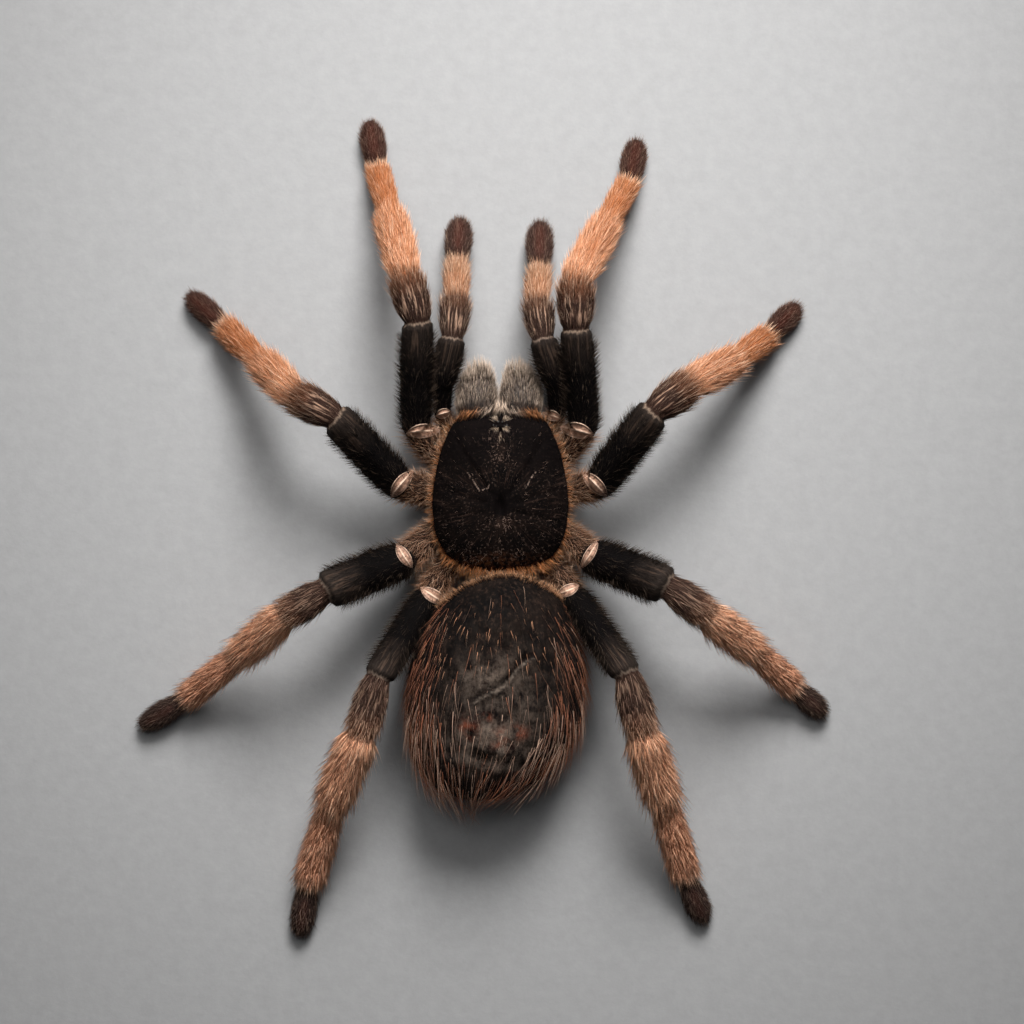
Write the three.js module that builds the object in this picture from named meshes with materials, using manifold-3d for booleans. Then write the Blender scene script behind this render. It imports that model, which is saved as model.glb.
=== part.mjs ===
// Dried tarantula specimen with its legs spread, seen from above in the pose it dried in.
// Millimetres. +X is the spider's right side, +Y its head end and +Z is up. It lies on z = 0.
// Every solid reaches the tips of the hairs that cover that piece.
import * as THREE from 'three';
import { mergeVertices } from 'three/addons/utils/BufferGeometryUtils.js';
import Module from 'manifold-3d';

const wasm = await Module();
wasm.setup();

// Room left between neighbouring pieces
const GAP = 0.3;

// Facets around a limb, a chelicera, a fang, the two body parts and the small parts under them
const LIMB_SIDES = 10;
const CHELICERA_SIDES = 14;
const FANG_SIDES = 6;
const BODY_SIDES = 28;
const STERNUM_SIDES = 16;
const WAIST_SIDES = 10;
const SPINNERET_SIDES = 8;

// The body's midline at the carapace
const MIDLINE_X = 2.9;

// Carapace: a low shield, widest a little behind its middle
const CARAPACE = {
  widestY: 5.2,
  halfWidth: 10.9,
  frontLength: 12.9,
  rearLength: 12.1,
  cornerPower: 3.1,
  rimHeight: 8.9,
  dome: 4.6,
  rimThickness: 0.5,
  slices: 13,
};

// The lump near the front edge that carries the eyes
const EYE_MOUND = { y: 16.3, halfWidth: 1.5, halfLength: 1.0, height: 1.5, sectors: 12, rings: 8 };

// Sternum and flesh under the carapace, between the coxae
const STERNUM = { y: 4.4, halfWidth: 4.9, halfLength: 8.8, power: 2, bottom: 2.2, top: 9.2, slices: 7 };

// Abdomen: an egg that has settled flat on its belly and points a little to the left
const ABDOMEN = {
  x: 2.0,
  y: -26.6,
  slant: 0.07,
  halfWidth: 15.0,
  frontLength: 19.0,
  rearLength: 17.2,
  frontPower: 1.78,
  rearPower: 2.05,
  middleHeight: 8.9,
  halfHeight: 9.7,
  slices: 17,
};

// The narrow waist in front of the abdomen
const WAIST = { radius: 1.4, height: 6.3, root: 3, reach: 2.6 };

// The two spinnerets under the rear end, which part and sink a little towards their tips
const SPINNERET = {
  middleX: 1.0,
  startY: -39.6,
  height: 6.4,
  length: 3.6,
  spread: 1.5,
  parting: 0.2,
  drop: 1.2,
  radius: 1.0,
  tipRadius: 0.5,
};

// Chelicerae: two rounded lobes ahead of the carapace, each with a fang folded under it
const CHELICERA = { offset: 3.55, halfWidth: 3.3, clearance: 0.4 };
const CHELICERA_PROFILE = [
  { y: 15.2, z: 7.6, width: 0.62, up: 1.1, down: 1.5 },
  { y: 17.0, z: 7.9, width: 0.86, up: 2.6, down: 2.6 },
  { y: 19.0, z: 8.0, width: 0.98, up: 3.7, down: 3.6 },
  { y: 21.2, z: 7.4, width: 1.0, up: 4.0, down: 4.1 },
  { y: 23.2, z: 6.3, width: 0.92, up: 3.7, down: 3.9 },
  { y: 24.9, z: 5.2, width: 0.68, up: 2.6, down: 3.0 },
  { y: 25.8, z: 4.7, width: 0.3, up: 1.0, down: 1.3 },
];
const FANG_PROFILE = [
  { y: 23.6, z: 3.4, radius: 0.95 },
  { y: 23.9, z: 1.9, radius: 0.8 },
  { y: 22.6, z: 1.0, radius: 0.6 },
  { y: 20.8, z: 0.8, radius: 0.4 },
  { y: 19.2, z: 1.1, radius: 0.15 },
];

// Where each limb bends, seen from above: x and y of the coxa's inner end, the ends of coxa,
// trochanter, femur, patella, tibia and metatarsus, and the tip of the tarsus
const LEG_BENDS = {
  leg_left_1: [[-2.2, 8.8], [-7.9, 12.4], [-10.4, 15.8], [-9.9, 32.0], [-11.7, 38.9], [-14.4, 49.1],
    [-16.7, 57.4], [-18.0, 64.8]],
  leg_left_2: [[-3.0, 5.1], [-9.0, 6.1], [-12.7, 6.7], [-22.6, 17.2], [-28.8, 20.6], [-34.8, 26.2],
    [-41.1, 32.2], [-46.8, 37.2]],
  leg_left_3: [[-2.9, 1.2], [-8.4, -1.4], [-11.8, -4.6], [-24.1, -9.5], [-30.2, -13.2], [-37.8, -19.7],
    [-47.2, -27.1], [-54.4, -31.5]],
  leg_left_4: [[-1.9, -2.5], [-6.0, -6.4], [-8.4, -10.5], [-15.9, -22.8], [-18.6, -31.5], [-23.5, -43.3],
    [-27.7, -56.6], [-29.1, -64.8]],
  leg_right_1: [[8.0, 8.8], [13.3, 12.2], [16.0, 15.6], [14.6, 30.9], [14.5, 38.0], [19.6, 48.0],
    [23.3, 55.0], [24.7, 61.8]],
  leg_right_2: [[8.8, 5.1], [14.5, 6.1], [18.2, 6.8], [26.7, 18.1], [32.1, 22.3], [39.6, 26.3],
    [45.5, 30.7], [50.3, 35.5]],
  leg_right_3: [[8.7, 1.2], [13.8, -1.4], [16.9, -4.2], [28.7, -8.8], [34.7, -13.1], [42.5, -19.1],
    [49.6, -25.2], [54.5, -29.6]],
  leg_right_4: [[7.7, -2.5], [11.6, -6.4], [14.2, -10.4], [22.4, -22.3], [24.8, -31.3], [28.4, -42.6],
    [32.4, -55.5], [35.4, -62.6]],
};
const PALP_BENDS = {
  pedipalp_left: [[-0.4, 11.6], [-4.6, 14.6], [-6.3, 18.0], [-6.2, 22.4], [-4.3, 29.7], [-4.0, 35.9],
    [-4.0, 42.1], [-3.6, 49.2]],
  pedipalp_right: [[6.2, 11.6], [10.2, 14.6], [11.9, 18.0], [11.7, 22.4], [9.2, 29.6], [8.6, 35.4],
    [9.0, 40.9], [9.2, 48.7]],
};

// Heights of the same bends, for each pair of legs from the front and for the palps
const LEG_HEIGHTS = [
  [4.6, 5.7, 8.0, 15.0, 15.4, 8.6, 2.6, 1.2],
  [4.6, 5.7, 8.0, 15.4, 15.0, 8.4, 2.6, 1.2],
  [4.6, 5.7, 8.0, 16.0, 14.8, 8.4, 2.6, 1.2],
  [4.6, 5.7, 8.2, 16.6, 15.4, 9.0, 2.8, 1.2],
];
const PALP_HEIGHTS = [4.4, 5.0, 6.9, 9.2, 12.0, 10.4, 4.8, 1.2];

// Half widths of coxa, trochanter, femur, patella, tibia, metatarsus and tarsus, hairs included
const LEG_HALF_WIDTHS = [
  [2.1, 2.15, 2.6, 2.8, 2.8, 2.0, 2.05],
  [2.2, 2.3, 2.9, 2.7, 2.75, 2.1, 1.95],
  [2.2, 2.4, 3.2, 2.6, 2.85, 2.3, 2.0],
  [2.1, 2.15, 2.55, 2.65, 3.2, 2.6, 2.1],
];
// The palp's femur is given here as two stretches, because it bows around the chelicera
const PALP_HALF_WIDTHS = [1.5, 1.35, 1.35, 1.9, 2.15, 1.85, 2.1];

// The form of each kind of segment: how tall it is for its width, and its sections, each with
// how far along the segment it stands and its width as a share
const COXA = { tall: 1.0, sections: [[0, 0.72], [0.5, 0.95], [0.88, 1.0]] };
const TROCHANTER = { tall: 1.02, sections: [[0.18, 0.94], [0.55, 1.0], [0.9, 0.95]] };
const FEMUR = { tall: 1.12, sections: [[0.08, 0.9], [0.28, 0.98], [0.6, 1.0], [0.88, 0.97], [0.985, 0.86]] };
const FEMUR_BOW = { tall: 1.12, sections: [[0.15, 0.94], [0.5, 1.0], [0.85, 1.1]] };
const FEMUR_END = { tall: 1.12, sections: [[0.25, 0.95], [0.6, 1.0], [0.88, 0.98], [0.985, 0.86]] };
const PATELLA = { tall: 1.05, sections: [[0.07, 0.9], [0.42, 1.0], [0.82, 0.98], [0.98, 0.86]] };
const TIBIA = { tall: 1.0, sections: [[0.08, 0.92], [0.35, 1.0], [0.75, 0.98], [0.97, 0.84]] };
const METATARSUS = { tall: 0.95, sections: [[0.07, 0.9], [0.4, 1.0], [0.8, 1.0], [0.97, 0.86]] };
const TARSUS = { tall: 0.85, sections: [[0.1, 0.9], [0.42, 1.02], [0.72, 1.0], [0.91, 0.76], [1.0, 0.38]] };
const LEG_FORMS = [COXA, TROCHANTER, FEMUR, PATELLA, TIBIA, METATARSUS, TARSUS];
const PALP_FORMS = [COXA, TROCHANTER, FEMUR_BOW, FEMUR_END, PATELLA, TIBIA, TARSUS];
// The last stretch of a bend over which a section turns from one segment's direction to the next
const BEND_SHARE = 0.3;

// How far the first slice of a rounded body stands from its end, as a share of a slice
const END_SHARE = 0.35;

// Points closer than this are one point
const WELD = 1e-4;

const VELVET_BLACK = new THREE.MeshStandardMaterial({ color: 0x17100f, roughness: 0.95, metalness: 0 });
const LEG_ORANGE = new THREE.MeshStandardMaterial({ color: 0xc08460, roughness: 0.85, metalness: 0 });
const PALP_BROWN = new THREE.MeshStandardMaterial({ color: 0xa87458, roughness: 0.85, metalness: 0 });
const ABDOMEN_BROWN = new THREE.MeshStandardMaterial({ color: 0x3a2822, roughness: 0.7, metalness: 0 });
const CHELICERA_GREY = new THREE.MeshStandardMaterial({ color: 0x8c7d6e, roughness: 0.8, metalness: 0 });

// The direction of the path at each station, from its neighbours
function pathDirections(stations) {
  return stations.map((station, i) => {
    const before = stations[Math.max(i - 1, 0)].at;
    const after = stations[Math.min(i + 1, stations.length - 1)].at;
    return after.clone().sub(before).normalize();
  });
}

// Points of one section: an oval across the direction, with its own height above and below
function sectionPoints(station, direction, sides) {
  const side = new THREE.Vector3(direction.y, -direction.x, 0).normalize();
  const up = new THREE.Vector3().crossVectors(side, direction);
  const points = [];
  for (let k = 0; k < sides; k += 1) {
    const angle = (2 * Math.PI * k) / sides;
    const rise = Math.sin(angle);
    const height = rise > 0 ? station.up : station.down;
    const point = station.at.clone().addScaledVector(side, station.wide * Math.cos(angle));
    point.addScaledVector(up, height * rise);
    point.z = Math.max(point.z, 0);
    points.push(point);
  }
  return points;
}

// A closed skin through a row of oval sections, with a flat fan over each end.
// What would sink below the resting surface is pressed flat on it.
function loft(stations, sides) {
  const directions = pathDirections(stations);
  const points = [];
  stations.forEach((station, i) => {
    points.push(...sectionPoints(station, station.direction ?? directions[i], sides));
  });
  const first = points.push(middleOf(points.slice(0, sides))) - 1;
  const last = points.push(middleOf(points.slice(-sides - 1, -1))) - 1;
  const index = [];
  for (let k = 0; k < sides; k += 1) {
    const next = (k + 1) % sides;
    for (let i = 0; i + 1 < stations.length; i += 1) {
      const low = i * sides;
      const high = low + sides;
      index.push(low + k, high + next, low + next);
      index.push(low + k, high + k, high + next);
    }
    const end = (stations.length - 1) * sides;
    index.push(first, k, next);
    index.push(last, end + next, end + k);
  }
  const geometry = new THREE.BufferGeometry();
  geometry.setAttribute('position', new THREE.Float32BufferAttribute(points.flatMap((p) => p.toArray()), 3));
  geometry.setIndex(index);
  return geometry;
}

function middleOf(points) {
  const middle = new THREE.Vector3();
  points.forEach((point) => middle.add(point));
  return middle.divideScalar(points.length);
}

// The same shape as a solid for joins and cuts
function toSolid(geometry) {
  const bare = geometry.clone();
  bare.deleteAttribute('normal');
  bare.deleteAttribute('uv');
  const merged = mergeVertices(bare, WELD);
  return new wasm.Manifold(new wasm.Mesh({
    numProp: 3,
    vertProperties: new Float32Array(merged.attributes.position.array),
    triVerts: new Uint32Array(merged.index.array),
  }));
}

function toGeometry(solid) {
  const mesh = solid.getMesh();
  const geometry = new THREE.BufferGeometry();
  geometry.setAttribute('position', new THREE.Float32BufferAttribute(Array.from(mesh.vertProperties), 3));
  geometry.setIndex(Array.from(mesh.triVerts));
  return geometry;
}

function joined(geometries) {
  return geometries.map(toSolid).reduce((whole, next) => whole.add(next));
}

// Half of a superellipse's width at a place along its length, both as shares from 0 to 1
function roundedShare(along, power) {
  return (1 - Math.abs(along) ** power) ** (1 / power);
}

// Evenly turned shares from -1 to 1, closer together near the ends, without the very ends
function slicePlaces(count) {
  const places = [];
  for (let i = 0; i < count; i += 1) {
    const turn = (Math.PI * (i + END_SHARE)) / (count - 1 + 2 * END_SHARE);
    places.push(-Math.cos(turn));
  }
  return places;
}

function carapace(spare = 0) {
  const c = CARAPACE;
  const forward = new THREE.Vector3(0, 1, 0);
  return loft(slicePlaces(c.slices).map((place) => {
    const share = roundedShare(place, c.cornerPower);
    const length = (place > 0 ? c.frontLength : c.rearLength) + spare;
    return {
      at: new THREE.Vector3(MIDLINE_X, c.widestY + place * length, c.rimHeight),
      wide: c.halfWidth * share + spare,
      up: c.dome * Math.sqrt(share) + spare,
      down: c.rimThickness + spare,
      direction: forward,
    };
  }), BODY_SIDES);
}

function eyeMound() {
  const m = EYE_MOUND;
  const dome = new THREE.SphereGeometry(1, m.sectors, m.rings);
  dome.scale(m.halfWidth, m.halfLength, m.height);
  dome.translate(MIDLINE_X, m.y, CARAPACE.rimHeight + CARAPACE.dome - m.height / 2);
  return dome;
}

function sternum() {
  const s = STERNUM;
  const middle = (s.top + s.bottom) / 2;
  const forward = new THREE.Vector3(0, 1, 0);
  return loft(slicePlaces(s.slices).map((place) => {
    const share = roundedShare(place, s.power);
    return {
      at: new THREE.Vector3(MIDLINE_X, s.y + place * s.halfLength, middle),
      wide: s.halfWidth * share,
      up: s.top - middle,
      down: (middle - s.bottom) * Math.sqrt(share),
      direction: forward,
    };
  }), STERNUM_SIDES);
}

function abdomenEgg() {
  const a = ABDOMEN;
  const forward = new THREE.Vector3(0, 1, 0);
  return loft(slicePlaces(a.slices).map((place) => {
    const length = place > 0 ? a.frontLength : a.rearLength;
    const share = roundedShare(place, place > 0 ? a.frontPower : a.rearPower);
    const along = place * length;
    return {
      at: new THREE.Vector3(a.x + a.slant * along, a.y + along, a.middleHeight),
      wide: a.halfWidth * share,
      up: a.halfHeight * share,
      down: a.halfHeight * share,
      direction: forward,
    };
  }), BODY_SIDES);
}

function waist() {
  const front = ABDOMEN.y + ABDOMEN.frontLength;
  return loft([-WAIST.root, 0, WAIST.reach].map((step) => ({
    at: new THREE.Vector3(MIDLINE_X, front + step, WAIST.height),
    wide: WAIST.radius,
    up: WAIST.radius,
    down: WAIST.radius,
  })), WAIST_SIDES);
}

function spinneret(sideSign) {
  const s = SPINNERET;
  const radii = [s.radius, s.radius, s.tipRadius];
  return loft(radii.map((radius, i) => {
    const share = i / (radii.length - 1);
    return {
      at: new THREE.Vector3(
        s.middleX + sideSign * s.spread * (1 + s.parting * share),
        s.startY - s.length * share,
        s.height - s.drop * share,
      ),
      wide: radius,
      up: radius,
      down: radius,
    };
  }), SPINNERET_SIDES);
}

function cheliceraLobe(sideSign) {
  const x = MIDLINE_X + sideSign * CHELICERA.offset;
  return loft(CHELICERA_PROFILE.map((p) => ({
    at: new THREE.Vector3(x, p.y, p.z),
    wide: CHELICERA.halfWidth * p.width,
    up: p.up,
    down: p.down,
    direction: new THREE.Vector3(0, 1, 0),
  })), CHELICERA_SIDES);
}

function fang(sideSign) {
  const x = MIDLINE_X + sideSign * CHELICERA.offset;
  return loft(FANG_PROFILE.map((p) => ({
    at: new THREE.Vector3(x, p.y, p.z),
    wide: p.radius,
    up: p.radius,
    down: p.radius,
  })), FANG_SIDES);
}

// Sections of a whole limb. Near a bend each section leans towards the next segment.
function limbStations({ bends, widths, forms }, spare = 0) {
  const turns = bends.slice(1).map((bend, i) => bend.clone().sub(bends[i]).normalize());
  const between = (i) => {
    const before = turns[Math.max(i - 1, 0)];
    const after = turns[Math.min(i, turns.length - 1)];
    return before.clone().add(after).normalize();
  };
  return forms.flatMap((form, i) => form.sections.map(([along, share]) => {
    const lean = Math.max(1 - along / BEND_SHARE, 0);
    const leanOut = Math.max(1 - (1 - along) / BEND_SHARE, 0);
    const direction = turns[i].clone().lerp(between(i), lean).lerp(between(i + 1), leanOut);
    const wide = widths[i] * share + spare;
    return {
      at: bends[i].clone().lerp(bends[i + 1], along),
      wide,
      up: wide * form.tall,
      down: wide * form.tall,
      direction: direction.normalize(),
    };
  }));
}

function bendPoints(plan, heights) {
  return plan.map(([x, y], i) => new THREE.Vector3(x, y, heights[i]));
}

// Every limb with its name, bends and widths
const LIMBS = [
  ...Object.entries(LEG_BENDS).map(([name, plan]) => {
    const pair = Number(name.at(-1)) - 1;
    const bends = bendPoints(plan, LEG_HEIGHTS[pair]);
    return { name, bends, widths: LEG_HALF_WIDTHS[pair], forms: LEG_FORMS };
  }),
  ...Object.entries(PALP_BENDS).map(([name, plan]) => ({
    name,
    bends: bendPoints(plan, PALP_HEIGHTS),
    widths: PALP_HALF_WIDTHS,
    forms: PALP_FORMS,
  })),
];

// The space that a limb's root needs in the body: its coxa and trochanter with the gap around
function rootRoom(limb) {
  const roots = COXA.sections.length + TROCHANTER.sections.length;
  const stations = limbStations(limb, GAP).slice(0, roots);
  stations[0].at.addScaledVector(stations[0].direction, -GAP);
  return toSolid(loft(stations, LIMB_SIDES));
}

const LIMB_ROOMS = LIMBS.map(rootRoom);

function clearOfLimbs(solid) {
  return LIMB_ROOMS.reduce((left, room) => left.subtract(room), solid);
}

// The largest closed piece of a solid, so that no crumb of a cut is kept
function mainPiece(solid) {
  return solid.decompose().sort((a, b) => b.volume() - a.volume())[0];
}

const tarantula = new THREE.Group();

function addPiece(name, geometry, material) {
  const mesh = new THREE.Mesh(geometry, material);
  mesh.name = name;
  tarantula.add(mesh);
}

const cephalothorax = mainPiece(clearOfLimbs(joined([carapace(), eyeMound(), sternum()])));
addPiece('cephalothorax', toGeometry(cephalothorax), VELVET_BLACK);

addPiece('abdomen', toGeometry(joined([abdomenEgg(), waist(), spinneret(-1), spinneret(1)])), ABDOMEN_BROWN);

for (const [side, sign] of [['left', -1], ['right', 1]]) {
  const whole = joined([cheliceraLobe(sign), fang(sign)]).subtract(toSolid(carapace(CHELICERA.clearance)));
  const lobe = mainPiece(clearOfLimbs(whole));
  addPiece(`chelicera_${side}`, toGeometry(lobe), CHELICERA_GREY);
}

for (const limb of LIMBS) {
  const material = limb.name.startsWith('leg') ? LEG_ORANGE : PALP_BROWN;
  addPiece(limb.name, loft(limbStations(limb), LIMB_SIDES), material);
}

export default tarantula;
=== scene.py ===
"""Dried tarantula specimen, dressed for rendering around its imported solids.

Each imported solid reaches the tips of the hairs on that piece. Here a fine skin a little inside it takes its place,
and coats of combed hairs grow on the skin up to that reach. Places are in millimetres in the frame of the part,
with +X the spider's right side, +Y its head end and +Z up, and become metres when a mesh is made.
"""

import logging
import math
from dataclasses import dataclass, field
from enum import Enum

import bpy
import numpy as np
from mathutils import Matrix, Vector, noise
from mathutils.bvhtree import BVHTree


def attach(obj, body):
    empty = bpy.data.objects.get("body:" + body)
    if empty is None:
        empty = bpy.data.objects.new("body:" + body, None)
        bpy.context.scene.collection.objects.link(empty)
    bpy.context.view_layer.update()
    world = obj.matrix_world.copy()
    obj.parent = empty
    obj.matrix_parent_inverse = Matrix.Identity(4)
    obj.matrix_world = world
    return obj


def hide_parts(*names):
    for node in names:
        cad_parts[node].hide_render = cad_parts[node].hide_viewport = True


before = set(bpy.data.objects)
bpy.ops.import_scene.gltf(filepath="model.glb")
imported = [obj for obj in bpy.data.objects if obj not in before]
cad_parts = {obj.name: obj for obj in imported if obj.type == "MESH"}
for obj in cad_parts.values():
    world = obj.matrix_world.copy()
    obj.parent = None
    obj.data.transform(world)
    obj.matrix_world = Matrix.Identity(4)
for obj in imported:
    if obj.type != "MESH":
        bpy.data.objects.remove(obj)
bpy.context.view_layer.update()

LOG = logging.getLogger("tarantula")
MM = 0.001
ROOT = "root"
# No point of a hair lies lower, in millimetres
LOWEST_HAIR = 0.04
# Rays that look for the top of a skin start this high, in millimetres
ABOVE = 40.0
# Skins stop this far above the floor, in millimetres
FLOOR_GAP = 0.05
# Keeps a direction apart from zero
TINY = 1e-6

Colour = tuple[float, float, float]
Face = tuple[int, ...]
Values = np.ndarray
Socket = bpy.types.NodeSocket
Source = Socket | float | Colour


def rgb(*channels: int) -> Colour:
    """Turn an 8-bit screen colour into the linear values that shaders use.

    Args:
        channels: Red, green and blue from 0 to 255.

    Returns:
        The linear colour.
    """
    shares = [value / 255 for value in channels]
    return tuple(share / 12.92 if share <= 0.04045 else ((share + 0.055) / 1.055) ** 2.4 for share in shares)


def unit(vectors: Values) -> Values:
    """Scale each row of an array to length one."""
    return vectors / np.maximum(np.linalg.norm(vectors, axis=-1, keepdims=True), 1e-9)


def bell(distance: Values, width: float) -> Values:
    """A smooth bump of height one that has fallen to about a third at width."""
    return np.exp(-((distance / width) ** 2))


def smooth_step(values: Values, low: float, high: float) -> Values:
    """Ease from 0 at low to 1 at high."""
    share = np.clip((values - low) / (high - low), 0, 1)
    return share * share * (3 - 2 * share)


def between(values: Values, start: float, full: float, fade: float, gone: float) -> Values:
    """Ease in from start to full, and out again from fade to gone."""
    return smooth_step(values, start, full) * (1 - smooth_step(values, fade, gone))


def lumps(points: Values, size: float, seed: float) -> Values:
    """Soft lumps about as wide as size, from -1 to 1, in a pattern that seed shifts."""
    shift = Vector((seed, 2.3 * seed, 0.7 * seed))
    return np.array([noise.noise(Vector(p) / size + shift) for p in points])


def flat(*columns: Values | float) -> Values:
    """Put columns side by side and fill up those that are one number, with zeros for z where it is left out."""
    rows = max(np.size(column) for column in columns)
    return np.column_stack([np.broadcast_to(column, rows) for column in (*columns, 0.0)[:3]]).astype(float)


def rows_along_y(count: int) -> Values:
    """One direction along +Y for each section."""
    return np.tile([0.0, 1.0, 0.0], (count, 1))


def tube_faces(rows: int, sides: int) -> list[Face]:
    """List the faces of a tube of closed rings, whose two end points come after the rings.

    Args:
        rows: How many rings there are.
        sides: Vertices in a ring.

    Returns:
        The faces, turned outwards where the rings run clockwise seen along the tube.
    """
    faces: list[Face] = []
    first, last, end = rows * sides, rows * sides + 1, (rows - 1) * sides
    for k in range(sides):
        after = (k + 1) % sides
        faces += [(low + k, low + sides + k, low + sides + after, low + after) for low in range(0, end, sides)]
        faces += [(first, k, after), (last, end + after, end + k)]
    return faces


@dataclass
class Skin:
    """A closed surface in millimetres, with the layers of values that its finish and its hairs read.

    Attributes:
        points: One row for each vertex.
        faces: Vertex numbers of each face, turned outwards.
        layers: One value or one vector for each vertex, by name.
    """

    points: Values
    faces: list[Face]
    layers: dict[str, Values] = field(default_factory=dict)

    def mesh(self, name: str) -> bpy.types.Mesh:
        """Make the mesh in metres, smooth shaded.

        Args:
            name: The mesh's name.

        Returns:
            The mesh with the layers as attributes.
        """
        mesh = bpy.data.meshes.new(name)
        mesh.from_pydata((self.points * MM).tolist(), [], self.faces)
        mesh.shade_smooth()
        for layer, values in self.layers.items():
            kind, key = ("FLOAT_VECTOR", "vector") if values.ndim == 2 else ("FLOAT", "value")
            attribute = mesh.attributes.new(layer, kind, "POINT")
            attribute.data.foreach_set(key, values.astype(np.float32).ravel())
        mesh.update()
        return mesh

    def coated(self, density: Values, reach: Values | float = 1.0, rise: Values | float = 0.3,
               **more: Values) -> "Skin":
        """Share the skin with the layers of one coat of hairs.

        Args:
            density: How dense the hairs are.
            reach: How long they are.
            rise: How steeply they stand.
            more: Further layers.

        Returns:
            A skin with the same points and faces.
        """
        coat = {"density": density, "reach": reach, "rise": rise} | more
        filled = {key: np.broadcast_to(value, len(self.points)) if np.ndim(value) == 0 else value
                  for key, value in coat.items()}
        return Skin(self.points, self.faces, self.layers | filled)

    def tree(self) -> BVHTree:
        """Return a search tree of the skin in millimetres."""
        return BVHTree.FromPolygons(self.points.tolist(), self.faces)


@dataclass
class Loft:
    """A closed skin through a row of oval sections.

    Attributes:
        centres: Middle of each section.
        directions: The way the skin runs at each section.
        wide: Half width of each section.
        up: Height of each section above its middle.
        down: Depth of each section below its middle.
        sides: Vertices around a section.
        floor: No vertex goes lower than this.
    """

    centres: Values
    directions: Values
    wide: Values
    up: Values
    down: Values
    sides: int
    floor: float = FLOOR_GAP

    def skin(self) -> Skin:
        """Build the skin.

        Returns:
            The skin, with the layers turn (angle around, 90 degrees at the top) and station (section number).
        """
        count = len(self.centres)
        ahead = unit(self.directions)
        across = unit(flat(ahead[:, 1], -ahead[:, 0]))
        upward = np.cross(across, ahead)
        turn = np.arange(self.sides) * 2 * math.pi / self.sides
        rise = np.sin(turn)[None, :]
        height = np.where(rise > 0, self.up[:, None], self.down[:, None]) * rise
        reach = self.wide[:, None] * np.cos(turn)[None, :]
        points = self.centres[:, None, :] + across[:, None, :] * reach[..., None]
        points = (points + upward[:, None, :] * height[..., None]).reshape(-1, 3)
        points[:, 2] = np.maximum(points[:, 2], self.floor)
        ends = [points[: self.sides].mean(axis=0), points[-self.sides:].mean(axis=0)]
        layers = {
            "turn": np.concatenate([np.tile(turn, count), [math.pi / 2] * 2]),
            "station": np.concatenate([np.repeat(np.arange(count), self.sides), [0, count - 1]]).astype(float),
        }
        return Skin(np.vstack([points, ends]), tube_faces(count, self.sides), layers)


class Nodes:
    """Builds a node tree step by step."""

    def __init__(self, tree: bpy.types.NodeTree) -> None:
        """Keep the tree that the nodes go into."""
        self.tree = tree

    def node(self, kind: str, inputs: dict[str | int, Source] | None = None, **settings: object) -> bpy.types.Node:
        """Add a node.

        Args:
            kind: The node's type name.
            inputs: What its input sockets get.
            settings: Values for its properties.

        Returns:
            The node.
        """
        node = self.tree.nodes.new(kind)
        for key, value in settings.items():
            setattr(node, key, value)
        for key, source in (inputs or {}).items():
            self.link(source, node.inputs[key])
        return node

    def link(self, source: Source, target: Socket) -> None:
        """Connect a socket, or set a plain value.

        Args:
            source: An output socket, a number, a vector or a colour.
            target: The input socket.
        """
        if isinstance(source, Socket):
            self.tree.links.new(source, target)
        else:
            target.default_value = (*source, 1.0) if target.type == "RGBA" else source

    def maths(self, operation: str, first: Source, second: Source) -> Socket:
        """Combine two numbers and return the result's socket."""
        return self.node("ShaderNodeMath", {0: first, 1: second}, operation=operation).outputs[0]

    def times(self, first: Source, second: Source) -> Socket:
        """Multiply two numbers and return the result's socket."""
        return self.maths("MULTIPLY", first, second)


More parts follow.
